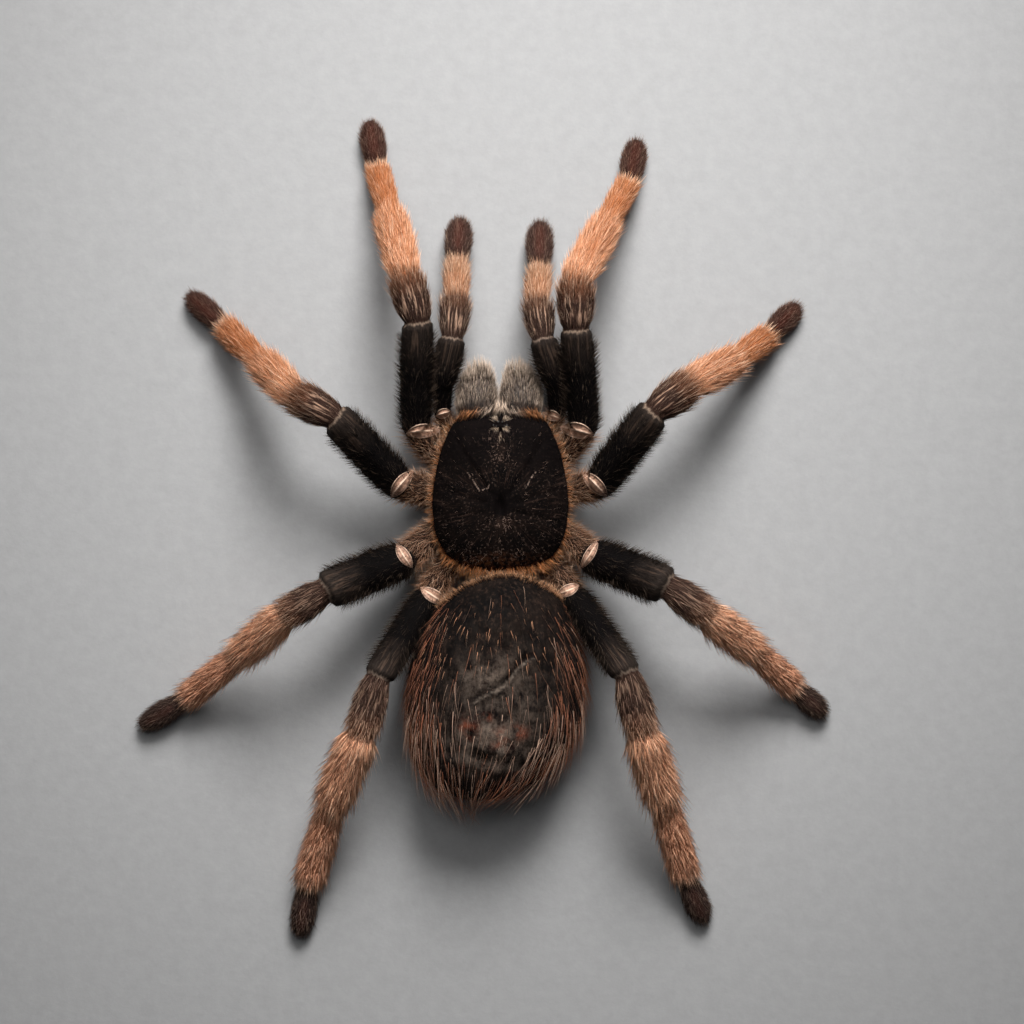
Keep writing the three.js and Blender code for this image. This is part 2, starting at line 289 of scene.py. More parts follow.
class Paint(Nodes):
    """Builds one node material around a Principled shader."""

    def __init__(self, name: str, roughness: float, specular: float) -> None:
        """Start a material.

        Args:
            name: The material's name.
            roughness: The shader's roughness.
            specular: The shader's specular level.
        """
        self.material = bpy.data.materials.new(name)
        self.material.use_nodes = True
        super().__init__(self.material.node_tree)
        self.shader = self.tree.nodes["Principled BSDF"].inputs
        self.shader["Roughness"].default_value = roughness
        self.shader["Specular IOR Level"].default_value = specular

    def layer(self, name: str) -> Socket:
        """Read a layer of values from the mesh and return its socket."""
        return self.node("ShaderNodeAttribute", attribute_name=name).outputs["Fac"]

    def grain(self) -> Socket:
        """Read the layer of vectors that follows the combing and return its socket."""
        return self.node("ShaderNodeAttribute", attribute_name="grain").outputs["Vector"]

    def place(self) -> Socket:
        """Return the place on the object, in metres."""
        return self.node("ShaderNodeTexCoord").outputs["Object"]

    def scaled(self, vector: Socket, scale: tuple[float, float, float]) -> Socket:
        """Stretch a vector along x, y and z and return the result's socket."""
        return self.node("ShaderNodeVectorMath", {0: vector, 1: scale}, operation="MULTIPLY").outputs[0]

    def noise(self, vector: Socket, scale: float, detail: float = 3.0, rough: float = 0.55) -> Socket:
        """Add a noise pattern.

        Args:
            vector: Where to read it.
            scale: Spots for each unit of the vector.
            detail: How many finer layers are added.
            rough: How strong the finer layers are.

        Returns:
            Values around one half.
        """
        inputs = {"Vector": vector, "Scale": scale, "Detail": detail, "Roughness": rough}
        return self.node("ShaderNodeTexNoise", inputs).outputs["Fac"]

    def ramp(self, value: Socket, stops: list[tuple[float, Colour]]) -> Socket:
        """Turn a value into a colour.

        Args:
            value: What to read, from 0 to 1.
            stops: Places and colours.

        Returns:
            The colour.
        """
        node = self.node("ShaderNodeValToRGB", {"Fac": value})
        elements = node.color_ramp.elements
        while len(elements) < len(stops):
            elements.new(1.0)
        for element, (position, colour) in zip(elements, stops):
            element.position = position
            element.color = (*colour, 1.0)
        return node.outputs["Color"]

    def window(self, value: Socket, low: float, high: float, top: float = 1.0) -> Socket:
        """Stretch the range of a value from low to high to the range from 0 to top, and clamp it."""
        inputs = {"Value": value, "From Min": low, "From Max": high, "To Max": top}
        return self.node("ShaderNodeMapRange", inputs).outputs["Result"]

    def mix(self, share: Source, first: Source, second: Source) -> Socket:
        """Lay the second colour over the first by a share and return the result's socket."""
        inputs = {"Factor": share, 6: first, 7: second}
        return self.node("ShaderNodeMix", inputs, data_type="RGBA", blend_type="MIX").outputs[2]

    def colour(self, source: Socket) -> None:
        """Give the shader its colour."""
        self.link(source, self.shader["Base Color"])

    def relief(self, height: Socket, depth: float) -> None:
        """Give the shader a bump of a depth in millimetres, from a pattern between 0 and 1."""
        bump = self.node("ShaderNodeBump", {"Strength": 1.0, "Distance": depth * MM, "Height": height})
        self.link(bump.outputs["Normal"], self.shader["Normal"])

    def velvet(self, weight: float, tint: Colour) -> None:
        """Add the soft edge light of short hairs, with its strength and its colour."""
        for key, value in (("Weight", weight), ("Roughness", 0.4), ("Tint", tint)):
            self.link(value, self.shader["Sheen " + key])


class Tone(Enum):
    """The casts that the shins' fur comes in."""

    ORANGE = "orange"
    PINK = "pink"
    TAN = "tan"


# Along a limb the layer along counts segments: 0 at the hip, 2 where the femur starts, 7 at the foot's tip
ALONG_SPAN = 7.0


@dataclass(frozen=True)
class LimbColours:
    """Colours of a limb from the hip to the foot.

    Attributes:
        femur_end: The thinner velvet ahead of the knee.
        seam: The soft skin in the knee's seam.
        patella: The knee.
        tibia: The shin.
        metatarsus: The next segment.
        ring: The narrow pale ring before the foot.
        tarsus: The foot.
        coxa: Coxa and trochanter.
        femur: The velvet of the thigh.
    """

    femur_end: Colour
    seam: Colour
    patella: Colour
    tibia: Colour
    metatarsus: Colour
    ring: Colour
    tarsus: Colour
    coxa: Colour = rgb(40, 28, 22)
    femur: Colour = rgb(6, 4, 4)

    def stops(self) -> list[tuple[float, Colour]]:
        """List the colours at their places along the limb, as shares of its whole."""
        knee_end = tuple(0.7 * near + 0.3 * far for near, far in zip(self.patella, self.tibia))
        along = [
            (1.95, self.coxa), (2.05, self.femur), (2.6, self.femur), (2.94, self.femur_end),
            (2.984, self.femur_end), (2.991, self.seam), (3.003, self.seam), (3.015, self.patella),
            (3.55, self.patella), (3.96, knee_end), (4.04, self.tibia), (4.92, self.tibia), (5.06, self.metatarsus),
            (5.9, self.metatarsus), (5.96, self.ring), (6.0, self.ring), (6.06, self.tarsus),
        ]
        return [(place / ALONG_SPAN, colour) for place, colour in along]


@dataclass(frozen=True)
class FurColours(LimbColours):
    """Colours of the hairs of a limb, a little lighter than its skin."""

    coxa: Colour = rgb(132, 95, 72)
    femur: Colour = rgb(8, 5, 5)


SKIN_COLOURS = {
    Tone.ORANGE: LimbColours(rgb(40, 33, 29), rgb(158, 136, 118), rgb(52, 36, 30), rgb(160, 98, 64), rgb(158, 92, 56),
                             rgb(226, 184, 152), rgb(62, 38, 32)),
    Tone.PINK: LimbColours(rgb(44, 37, 33), rgb(140, 122, 108), rgb(54, 39, 33), rgb(158, 104, 78), rgb(146, 95, 69),
                           rgb(168, 130, 108), rgb(46, 34, 31)),
    Tone.TAN: LimbColours(rgb(40, 33, 29), rgb(158, 136, 120), rgb(52, 37, 31), rgb(146, 96, 66), rgb(150, 104, 74),
                          rgb(206, 176, 150), rgb(60, 41, 35)),
}
FUR_COLOURS = {
    Tone.ORANGE: FurColours(rgb(32, 26, 23), rgb(60, 47, 40), rgb(80, 55, 45), rgb(212, 146, 106), rgb(194, 124, 80),
                            rgb(232, 194, 164), rgb(84, 58, 50)),
    Tone.PINK: FurColours(rgb(36, 30, 27), rgb(58, 46, 40), rgb(88, 64, 54), rgb(230, 170, 134), rgb(210, 151, 119),
                          rgb(206, 164, 138), rgb(74, 58, 52)),
    Tone.TAN: FurColours(rgb(32, 26, 23), rgb(58, 46, 40), rgb(78, 57, 49), rgb(174, 122, 90), rgb(182, 136, 106),
                         rgb(216, 188, 164), rgb(80, 59, 53)),
}


@dataclass(frozen=True)
class Finish:
    """One procedural material.

    Attributes:
        name: The material's name.
        roughness: The shader's roughness.
        specular: The shader's specular level.
    """

    name: str
    roughness: float = 0.75
    specular: float = 0.3

    def material(self) -> bpy.types.Material:
        """Build the material.

        Returns:
            The material, with its pattern.
        """
        paint = Paint(self.name, self.roughness, self.specular)
        self.cover(paint)
        return paint.material

    def cover(self, paint: Paint) -> None:
        """Lay the finish's pattern, which each finish has of its own."""
        raise NotImplementedError(self.name)


@dataclass(frozen=True)
class LimbSkin(Finish):
    """The skin of a limb under its hairs, with the tone of its shins' fur."""

    tone: Tone = Tone.ORANGE

    def cover(self, paint: Paint) -> None:
        """Lay bands of colour along the limb, broken up by combed streaks and the knee's bare lines.

        Args:
            paint: The material's nodes.
        """
        share = paint.maths("DIVIDE", paint.layer("along"), ALONG_SPAN)
        ragged = paint.noise(paint.grain(), 1.6, 2.0)
        share = paint.maths("ADD", share, paint.times(paint.maths("SUBTRACT", ragged, 0.5), 0.012))
        base = paint.ramp(share, SKIN_COLOURS[self.tone].stops())
        streaks = paint.noise(paint.grain(), 5.5, 4.0, 0.7)
        dark = paint.mix(0.6, base, (0.0, 0.0, 0.0))
        base = paint.mix(paint.window(streaks, 0.62, 0.34), base, dark)
        lines = paint.noise(paint.scaled(paint.grain(), (1.0, 1.0, 0.3)), 3.6, 1.5)
        base = paint.mix(paint.times(paint.layer("bare"), paint.window(lines, 0.53, 0.64)), base, rgb(160, 128, 108))
        paint.colour(paint.mix(paint.layer("warm"), base, rgb(72, 34, 26)))
        paint.relief(streaks, 0.22)


@dataclass(frozen=True)
class LimbFur(Finish):
    """The hairs of a limb, in the bands of colour of its skin.

    Attributes:
        tone: The cast of the shins' fur.
        bleach: How pale the hairs' tips grow, from 0 to 1.
        tip: The colour that the tips turn to.
    """

    tone: Tone = Tone.ORANGE
    bleach: float = 0.35
    tip: Colour = rgb(240, 206, 178)

    def cover(self, paint: Paint) -> None:
        """Give each hair its own tone, and let it pale towards its tip.

        Args:
            paint: The material's nodes.
        """
        share = paint.maths("DIVIDE", paint.layer("along"), ALONG_SPAN)
        base = paint.ramp(share, FUR_COLOURS[self.tone].stops())
        own = paint.layer("tone")
        base = paint.mix(paint.window(own, 0.4, 0.0, 0.6), base, (0.02, 0.012, 0.01))
        base = paint.mix(paint.layer("warm"), base, rgb(84, 42, 32))
        pale = paint.times(paint.layer("pale"), paint.window(own, 0.42, 0.85, self.bleach))
        pale = paint.times(pale, paint.window(paint.layer("tip"), -0.3, 0.9))
        paint.colour(paint.mix(pale, base, self.tip))


@dataclass(frozen=True)
class Hairs(Finish):
    """Hairs of one kind.

    Attributes:
        dark: The darkest hairs.
        light: The lightest hairs.
        tip: The colour at the tips.
        tip_share: How far the tips turn to that colour.
    """

    roughness: float = 0.55
    specular: float = 0.15
    dark: Colour = (0.0, 0.0, 0.0)
    light: Colour = (1.0, 1.0, 1.0)
    tip: Colour = (1.0, 1.0, 1.0)
    tip_share: float = 0.5

    def cover(self, paint: Paint) -> None:
        """Give each hair its own tone.

        Args:
            paint: The material's nodes.
        """
        base = paint.mix(paint.window(paint.layer("tone"), 0.15, 0.9), self.dark, self.light)
        paint.colour(paint.mix(paint.window(paint.layer("tip"), 0.1, 1.0, self.tip_share), base, self.tip))


@dataclass(frozen=True)
class Velvet(Finish):
    """Velvet black shield with dusty scratches that run out from its middle."""

    def cover(self, paint: Paint) -> None:
        """Lay dust, worn rays, specks, cracks and rust over the black.

        Args:
            paint: The material's nodes.
        """
        place = paint.place()
        base = paint.mix(paint.noise(place, 260.0, 4.0, 0.6), rgb(4, 3, 3), rgb(11, 7, 7))
        dust = paint.layer("dust")
        smudge = paint.times(paint.window(paint.noise(place, 420.0, 5.0, 0.7), 0.42, 0.66), dust)
        base = paint.mix(paint.times(smudge, 0.32), base, rgb(72, 54, 46))
        rays = paint.noise(paint.grain(), 2.2, 3.0, 0.6)
        scratch = paint.times(paint.window(rays, 0.57, 0.7), paint.layer("worn"))
        base = paint.mix(paint.times(scratch, 0.32), base, rgb(74, 56, 48))
        specks = paint.times(paint.window(paint.noise(place, 2600.0, 2.0, 0.8), 0.58, 0.7), dust)
        base = paint.mix(specks, base, rgb(126, 104, 93))
        frayed = paint.window(paint.noise(place, 2300.0, 2.0, 0.8), 0.42, 0.6, 0.75)
        line = paint.window(paint.layer("crack"), 0.35, 0.95)
        base = paint.mix(paint.times(line, frayed), base, rgb(150, 128, 116))
        paint.colour(paint.mix(paint.layer("rust"), base, rgb(92, 56, 34)))
        paint.relief(paint.noise(place, 1500.0, 3.0, 0.7), 0.1)
        paint.velvet(0.02, rgb(120, 100, 90))


@dataclass(frozen=True)
class Flesh(Finish):
    """Brown hide of the underside."""

    def cover(self, paint: Paint) -> None:
        """Lay soft brown patches.

        Args:
            paint: The material\'s nodes.
        """
        soft = paint.noise(paint.place(), 700.0, 4.0, 0.6)
        paint.colour(paint.mix(soft, rgb(44, 30, 25), rgb(92, 66, 52)))
        paint.relief(soft, 0.25)


@dataclass(frozen=True)
class Belly(Finish):
    """Dark abdomen with a dull grey bald patch, mottled and wrinkled."""

    def cover(self, paint: Paint) -> None:
        """Lay flecks, the bald cloud, red spots, pits and a painted highlight along the fold's crest over the dark
        skin.

        Args:
            paint: The material's nodes.
        """
        place = paint.place()
        broad = paint.noise(place, 160.0, 4.0, 0.65)
        base = paint.mix(paint.window(broad, 0.4, 0.64), rgb(4, 3, 3), rgb(20, 14, 11))
        flecks = paint.noise(paint.scaled(place, (1.0, 0.6, 1.0)), 1700.0, 4.0, 0.8)
        base = paint.mix(paint.window(flecks, 0.52, 0.68, 0.7), base, rgb(54, 40, 33))
        cloud = paint.noise(paint.scaled(place, (1.0, 0.7, 1.0)), 520.0, 7.0, 0.75)
        patch = paint.times(paint.layer("bald"), paint.window(cloud, 0.4, 0.62))
        base = paint.mix(paint.times(patch, 0.72), base, rgb(110, 96, 86))
        red = paint.times(paint.layer("red"), paint.window(paint.noise(place, 520.0, 4.0, 0.6), 0.42, 0.6))
        base = paint.mix(paint.times(red, 0.8), base, rgb(108, 54, 36))
        pits = paint.noise(place, 1500.0, 3.0, 0.7)
        base = paint.mix(paint.window(pits, 0.54, 0.7, 0.7), base, rgb(12, 9, 8))
        # Painted highlight: a pale line along the crest of the fold, broken up by noise.
        crest = paint.window(paint.noise(place, 700.0, 4.0, 0.75), 0.38, 0.6, 0.5)
        line = paint.window(paint.layer("crest"), 0.25, 0.95)
        paint.colour(paint.mix(paint.times(line, crest), base, rgb(128, 115, 104)))
        paint.relief(paint.noise(paint.scaled(place, (1.0, 0.45, 1.0)), 900.0, 4.0, 0.65), 0.3)


@dataclass(frozen=True)
class LobeHide(Finish):
    """Grey-brown lobes under the fur."""

    def cover(self, paint: Paint) -> None:
        """Lay fine streaks along the lobes.

        Args:
            paint: The material\'s nodes.
        """
        streaks = paint.noise(paint.scaled(paint.place(), (1.0, 0.25, 1.0)), 2600.0, 4.0, 0.65)
        paint.colour(paint.mix(paint.window(streaks, 0.35, 0.65), rgb(18, 14, 12), rgb(66, 54, 47)))
        paint.relief(streaks, 0.2)


@dataclass(frozen=True)
class VisorHairs(Finish):
    """Hairs over the chelicerae's roots, pale in the middle and orange at the sides."""

    def cover(self, paint: Paint) -> None:
        """Give each hair its own tone, by where it stands.

        Args:
            paint: The material\'s nodes.
        """
        own = paint.layer("tone")
        pale = paint.mix(own, rgb(60, 46, 38), rgb(232, 206, 184))
        orange = paint.mix(own, rgb(70, 40, 24), rgb(214, 146, 96))
        paint.colour(paint.mix(paint.layer("orange"), pale, orange))


@dataclass(frozen=True)
class Horn(Finish):
    """Horn or glass in two close colours.

    Attributes:
        spots: Spots of the second colour for each metre.
        dark: The first colour.
        light: The second colour.
    """

    spots: float = 500.0
    dark: Colour = rgb(10, 7, 7)
    light: Colour = rgb(44, 18, 12)

    def cover(self, paint: Paint) -> None:
        """Mix the two colours in soft spots."""
        paint.colour(paint.mix(paint.noise(paint.place(), self.spots), self.dark, self.light))


@dataclass(frozen=True)
class PadSkin(Finish):
    """Pinkish tan skin of the leaf-shaped pads, paler on the ridge and the rim."""

    def cover(self, paint: Paint) -> None:
        """Lay the grooves and the pale ridge over the tan.

        Args:
            paint: The material\'s nodes.
        """
        soft = paint.noise(paint.place(), 1500.0, 4.0, 0.6)
        base = paint.mix(paint.window(soft, 0.34, 0.66), rgb(110, 80, 65), rgb(186, 146, 123))
        base = paint.mix(paint.layer("groove"), base, rgb(60, 41, 33))
        paint.colour(paint.mix(paint.layer("ridge"), base, rgb(236, 206, 182)))
        paint.relief(soft, 0.12)


@dataclass(frozen=True)
class Paper(Finish):
    """Pale grey sheet under the specimen."""

    def cover(self, paint: Paint) -> None:
        """Lay faint fibres.

        Args:
            paint: The material\'s nodes.
        """
        fibres = paint.noise(paint.place(), 420.0, 6.0, 0.7)
        paint.colour(paint.mix(paint.window(fibres, 0.35, 0.65), rgb(146, 146, 147), rgb(152, 152, 153)))
        paint.relief(paint.noise(paint.place(), 900.0, 3.0, 0.7), 0.04)


def make_finishes() -> dict[str, bpy.types.Material]:
    """Make every material once.

    Returns:
        The materials by name.
    """
    kinds: dict[str, Finish] = {}
    for tone in Tone:
        cast = tone.value
        kinds["skin_" + cast] = LimbSkin("limb_skin_" + cast, 0.8, 0.06, tone)
        kinds["nap_" + cast] = LimbFur("limb_nap_" + cast, 0.75, 0.04, tone)
        kinds["fur_" + cast] = LimbFur("limb_fur_" + cast, 0.75, 0.04, tone, 0.95)
    kinds |= {
        "carapace": Velvet("carapace_velvet", 0.9, 0.04),
        "flesh": Flesh("underside_hide"),
        "abdomen": Belly("abdomen_skin", 0.8, 0.06),
        "chelicera": LobeHide("chelicera_hide", 0.7),
        "fang": Horn("fang_horn", 0.22, 0.6),
        "eye": Horn("eye_glass", 0.08, 0.8, 900.0, rgb(6, 5, 5), rgb(26, 18, 14)),
        "pad": PadSkin("pad_skin", 0.6, 0.35),
        "paper": Paper("grey_sheet", 0.9, 0.15),
        "visor": VisorHairs("visor_hair", 0.6, 0.15),
        "nap": Hairs("black_nap", 0.9, 0.02, rgb(4, 3, 3), rgb(11, 8, 7), rgb(15, 11, 10), 0.3),
        "down": Hairs("short_down", 0.85, 0.02, rgb(4, 3, 3), rgb(28, 19, 15), rgb(36, 25, 21), 0.4),
    }
    coats = {
        "rust": ("rust_fringe", (34, 20, 13), (190, 118, 69), (216, 160, 112), 0.4),
        "tangle": ("root_tangle", (36, 23, 17), (222, 170, 128), (236, 198, 166), 0.5),
        "stroke": ("pale_strokes", (112, 74, 54), (190, 140, 108), (200, 154, 124), 0.3),
        "pale": ("pale_tufts", (120, 100, 84), (214, 188, 162), (226, 204, 182), 0.5),
        "dusty": ("dusty_strays", (80, 62, 54), (168, 138, 122), (176, 150, 134), 0.5),
        "flank": ("flank_hairs", (12, 7, 5), (160, 100, 73), (184, 126, 99), 0.4),
        "back": ("back_hairs", (84, 60, 49), (184, 152, 132), (180, 146, 125), 0.3),
        "brow": ("pale_brow", (80, 50, 34), (196, 142, 102), (214, 170, 134), 0.4),
        "grey_fur": ("grey_fur", (28, 22, 20), (142, 122, 108), (220, 198, 177), 0.5),
    }
    for key, (name, dark, light, tip, share) in coats.items():
        kinds[key] = Hairs(name, dark=rgb(*dark), light=rgb(*light), tip=rgb(*tip), tip_share=share)
    return {key: finish.material() for key, finish in kinds.items()}


class HairTree(Nodes):
    """The node tree that plants combed hairs on a skin.

    The skin carries the layers density, comb, rise, reach and ruffle. A hair leans along comb, lifts off by rise,
    strays by ruffle times the tree's Spread, and is reach times the tree's Length long.
    """

    INPUTS = {
        "Density": ("NodeSocketFloat", 1.0),
        "Length": ("NodeSocketFloat", MM),
        "Slimness": ("NodeSocketFloat", 0.03),
        "Spread": ("NodeSocketFloat", 0.2),
        "Curl": ("NodeSocketFloat", 0.1),
        "Segments": ("NodeSocketInt", 2),
        "Seed": ("NodeSocketInt", 1),
        "Finish": ("NodeSocketMaterial", None),
    }

    def __init__(self) -> None:
        """Build the tree."""
        super().__init__(bpy.data.node_groups.new("combed_hairs", "GeometryNodeTree"))
        face = self.tree.interface
        face.new_socket("Geometry", in_out="INPUT", socket_type="NodeSocketGeometry")
        self.sockets = {}
        for name, (kind, value) in self.INPUTS.items():
            socket = face.new_socket(name, in_out="INPUT", socket_type=kind)
            if value is not None:
                socket.default_value = value
            self.sockets[name] = socket.identifier
        face.new_socket("Geometry", in_out="OUTPUT", socket_type="NodeSocketGeometry")
        self.start = self.node("NodeGroupInput").outputs
        self._build()

    def _vectors(self, operation: str, first: Source, second: Source) -> Socket:
        """Combine two vectors, or scale one by a number, and return the result's socket."""
        inputs = {0: first, 3 if operation == "SCALE" else 1: second}
        return self.node("ShaderNodeVectorMath", inputs, operation=operation).outputs[0]

    def _layer(self, name: str, kind: str = "FLOAT") -> Socket:
        """Read a layer of the skin and return its socket."""
        return self.node("GeometryNodeInputNamedAttribute", {"Name": name}, data_type=kind).outputs["Attribute"]

    def _random(self, low: float, high: float, salt: int) -> Socket:
        """Return the socket of a random number for each hair, fixed by the seed and salt."""
        inputs = {2: low, 3: high, "Seed": self.maths("ADD", self.start["Seed"], float(salt))}
        return self.node("FunctionNodeRandomValue", inputs, data_type="FLOAT").outputs[1]

    def _height(self) -> Socket:
        """Return the socket of a point's height."""
        place = self.node("GeometryNodeInputPosition").outputs[0]
        return self.node("ShaderNodeSeparateXYZ", {0: place}).outputs["Z"]

    def _vector(self, **parts: Source) -> Socket:
        """Put a vector together from its parts X, Y and Z and return its socket."""
        return self.node("ShaderNodeCombineXYZ", parts).outputs[0]

    def _store(self, geometry: Socket, name: str, value: Socket) -> Socket:
        """Write a value on the points of a geometry and return the geometry's socket."""
        inputs = {"Geometry": geometry, "Name": name, "Value": value}
        return self.node("GeometryNodeStoreNamedAttribute", inputs, data_type="FLOAT", domain="POINT").outputs[0]

    def _move(self, geometry: Socket, offset: Socket) -> Socket:
        """Move the points of a geometry and return the geometry's socket."""
        return self.node("GeometryNodeSetPosition", {"Geometry": geometry, "Offset": offset}).outputs[0]

    def _hair(self) -> Socket:
        """Build one hair of length one: a slim three-sided spike that bends down towards its tip.

        Returns:
            The hair's socket.
        """
        sizes = {"Vertices": 3, "Radius Top": 0.0, "Depth": 1.0, "Side Segments": self.start["Segments"],
                 "Radius Bottom": self.start["Slimness"]}
        spike = self.node("GeometryNodeMeshCone", sizes, fill_type="NGON").outputs["Mesh"]
        height = self._height()
        bend = self.times(self.maths("POWER", height, 2.0), self.start["Curl"])
        return self._move(self._store(spike, "tip", height), self._vector(X=self.times(bend, -1.0)))

    def _turned(self, normal: Socket) -> Socket:
        """Turn each hair along its combing, with its bend roughly towards the skin.

        Args:
            normal: The skin's normal at the hair's root.

        Returns:
            The rotation's socket.
        """
        lift = self._vectors("SCALE", normal, self._layer("rise"))
        stray = self._vector(**{axis: self._random(-1.0, 1.0, salt) for axis, salt in (("X", 2), ("Y", 3), ("Z", 4))})
        way = self._vectors("ADD", self._layer("comb", "FLOAT_VECTOR"), lift)
        amount = self.times(self._layer("ruffle"), self.start["Spread"])
        way = self._vectors("ADD", way, self._vectors("SCALE", stray, amount))
        along = self.node("FunctionNodeAlignRotationToVector", {"Vector": way}, axis="Z")
        rolled = self.node("FunctionNodeAlignRotationToVector",
                           {"Rotation": along.outputs["Rotation"], "Vector": normal}, axis="X", pivot_axis="Z")
        roll = self.node("FunctionNodeAxisAngleToRotation",
                         {"Axis": (0.0, 0.0, 1.0), "Angle": self._random(-1.1, 1.1, 6)})
        turned = {"Rotation": rolled.outputs["Rotation"], "Rotate By": roll.outputs["Rotation"]}
        return self.node("FunctionNodeRotateRotation", turned, rotation_space="LOCAL").outputs["Rotation"]

    def _build(self) -> None:
        """Scatter roots, plant the hairs, make them real, keep them off the floor and give them a finish."""
        start = self.start
        density = self.times(self._layer("density"), start["Density"])
        roots = self.node("GeometryNodeDistributePointsOnFaces",
                          {"Mesh": start["Geometry"], "Density": density, "Seed": start["Seed"]},
                          distribute_method="RANDOM").outputs
        size = self.times(self.times(self._layer("reach"), start["Length"]), self._random(0.5, 1.15, 5))
        girth = self.maths("DIVIDE", size, self.maths("POWER", self._layer("reach"), 0.5))
        planted = self.node("GeometryNodeInstanceOnPoints", {
            "Points": self._store(roots["Points"], "tone", self._random(0.0, 1.0, 1)), "Instance": self._hair(),
            "Rotation": self._turned(roots["Normal"]), "Scale": self._vector(X=girth, Y=girth, Z=size)})
        real = self.node("GeometryNodeRealizeInstances", {"Geometry": planted.outputs["Instances"]}).outputs[0]
        missing = self.maths("SUBTRACT", LOWEST_HAIR * MM, self._height())
        rested = self._move(real, self._vector(Z=self.maths("MAXIMUM", missing, 0.0)))
        dress = self.node("GeometryNodeSetMaterial", {"Geometry": rested, "Material": start["Finish"]})
        self.node("NodeGroupOutput", {"Geometry": dress.outputs["Geometry"]})


@dataclass(frozen=True)
class Coat:
    """One coat of hairs.

    Attributes:
        name: The piece's name.
        count: About how many hairs it has.
        length: The length in millimetres of a hair where reach is one.
        width: A hair's width at its root in millimetres, at that length.
        spread: How untidy the hairs lie.
        curl: How far a hair bends over, as a share of its length.
        segments: Stretches along a hair.
        seed: Fixes what is random.
    """

    name: str
    count: int
    length: float
    width: float
    spread: float
    curl: float
    segments: int
    seed: int

    SCRATCH = ("density", "comb", "rise", "reach", "ruffle", "turn", "station", "grain", "bare", "dust", "rust",
               "bald", "red", "crack", "worn", "crest")

    def grow(self, skin: Skin, trees: HairTree, material: bpy.types.Material) -> bpy.types.Mesh:
        """Plant the coat on a skin and turn it into a plain mesh.

        Args:
            skin: Where the hairs grow, with the layers density, comb, rise and reach.
            trees: The tree that plants them.
            material: The hairs' finish.

        Returns:
            The coat as a mesh.
        """
        skin.layers.setdefault("ruffle", np.ones(len(skin.points)))
        mesh = skin.mesh(self.name + "_roots")
        holder = bpy.data.objects.new(self.name + "_roots", mesh)
        bpy.context.scene.collection.objects.link(holder)
        density = skin.layers["density"]
        weight = sum(face.area * float(np.mean(density[list(face.vertices)])) for face in mesh.polygons)
        values = {
            "Density": self.count / weight,
            "Length": self.length * MM,
            "Slimness": self.width / self.length / 2,
            "Spread": self.spread,
            "Curl": self.curl,
            "Segments": self.segments,
            "Seed": self.seed,
            "Finish": material,
        }
        modifier = holder.modifiers.new("hairs", "NODES")
        modifier.node_group = trees.tree
        for name, value in values.items():
            modifier[trees.sockets[name]] = value
        bpy.context.view_layer.update()
        grown = bpy.data.meshes.new_from_object(holder.evaluated_get(bpy.context.evaluated_depsgraph_get()))
        bpy.data.objects.remove(holder)
        for layer in set(self.SCRATCH) & set(grown.attributes.keys()):
            grown.attributes.remove(grown.attributes[layer])
        grown.shade_smooth()
        return grown


Parts = tuple[list[tuple[str, Skin, str]], list[tuple[Coat, Skin, str]]]


class SubAssembly:
    """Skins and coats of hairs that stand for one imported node."""

    def seat(self) -> tuple[str, str]:
        """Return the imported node's name and its material slot."""
        raise NotImplementedError

    def parts(self) -> Parts:
        """Return the skins with their names and finishes, and the coats with theirs."""
        raise NotImplementedError


class Workshop:
    """Finishes the pieces of every sub-assembly and adds them to the scene."""

    def __init__(self) -> None:
        """Make the finishes and the hair tree."""
        self.finishes = make_finishes()
        self.trees = HairTree()
        self.hairs = 0
        self.all = 0

    def build(self, assembly: SubAssembly) -> None:
        """Make the pieces of a sub-assembly.

        Args:
            assembly: What to build.
        """
        skins, coats = assembly.parts()
        for name, skin, finish in skins:
            self._add(name, skin.mesh(name), finish, assembly.seat())
        for coat, skin, finish in coats:
            grown = coat.grow(skin, self.trees, self.finishes[finish])
            self.hairs += self._add(coat.name, grown, finish, assembly.seat())

    def _add(self, name: str, mesh: bpy.types.Mesh, finish: str, seat: tuple[str, str]) -> int:
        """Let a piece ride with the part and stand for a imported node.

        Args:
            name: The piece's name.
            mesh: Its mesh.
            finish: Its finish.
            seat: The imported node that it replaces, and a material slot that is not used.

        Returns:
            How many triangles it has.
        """
        mesh.name = name
        if not mesh.materials:
            mesh.materials.append(self.finishes[finish])
        piece = bpy.data.objects.new(name, mesh)
        bpy.context.scene.collection.objects.link(piece)
        node, slot = seat
        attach(piece, ROOT)
        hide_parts(node)
        count = sum(len(face.vertices) - 2 for face in mesh.polygons)
        self.all += count
        LOG.info("%s: %d triangles", name, count)
        return count


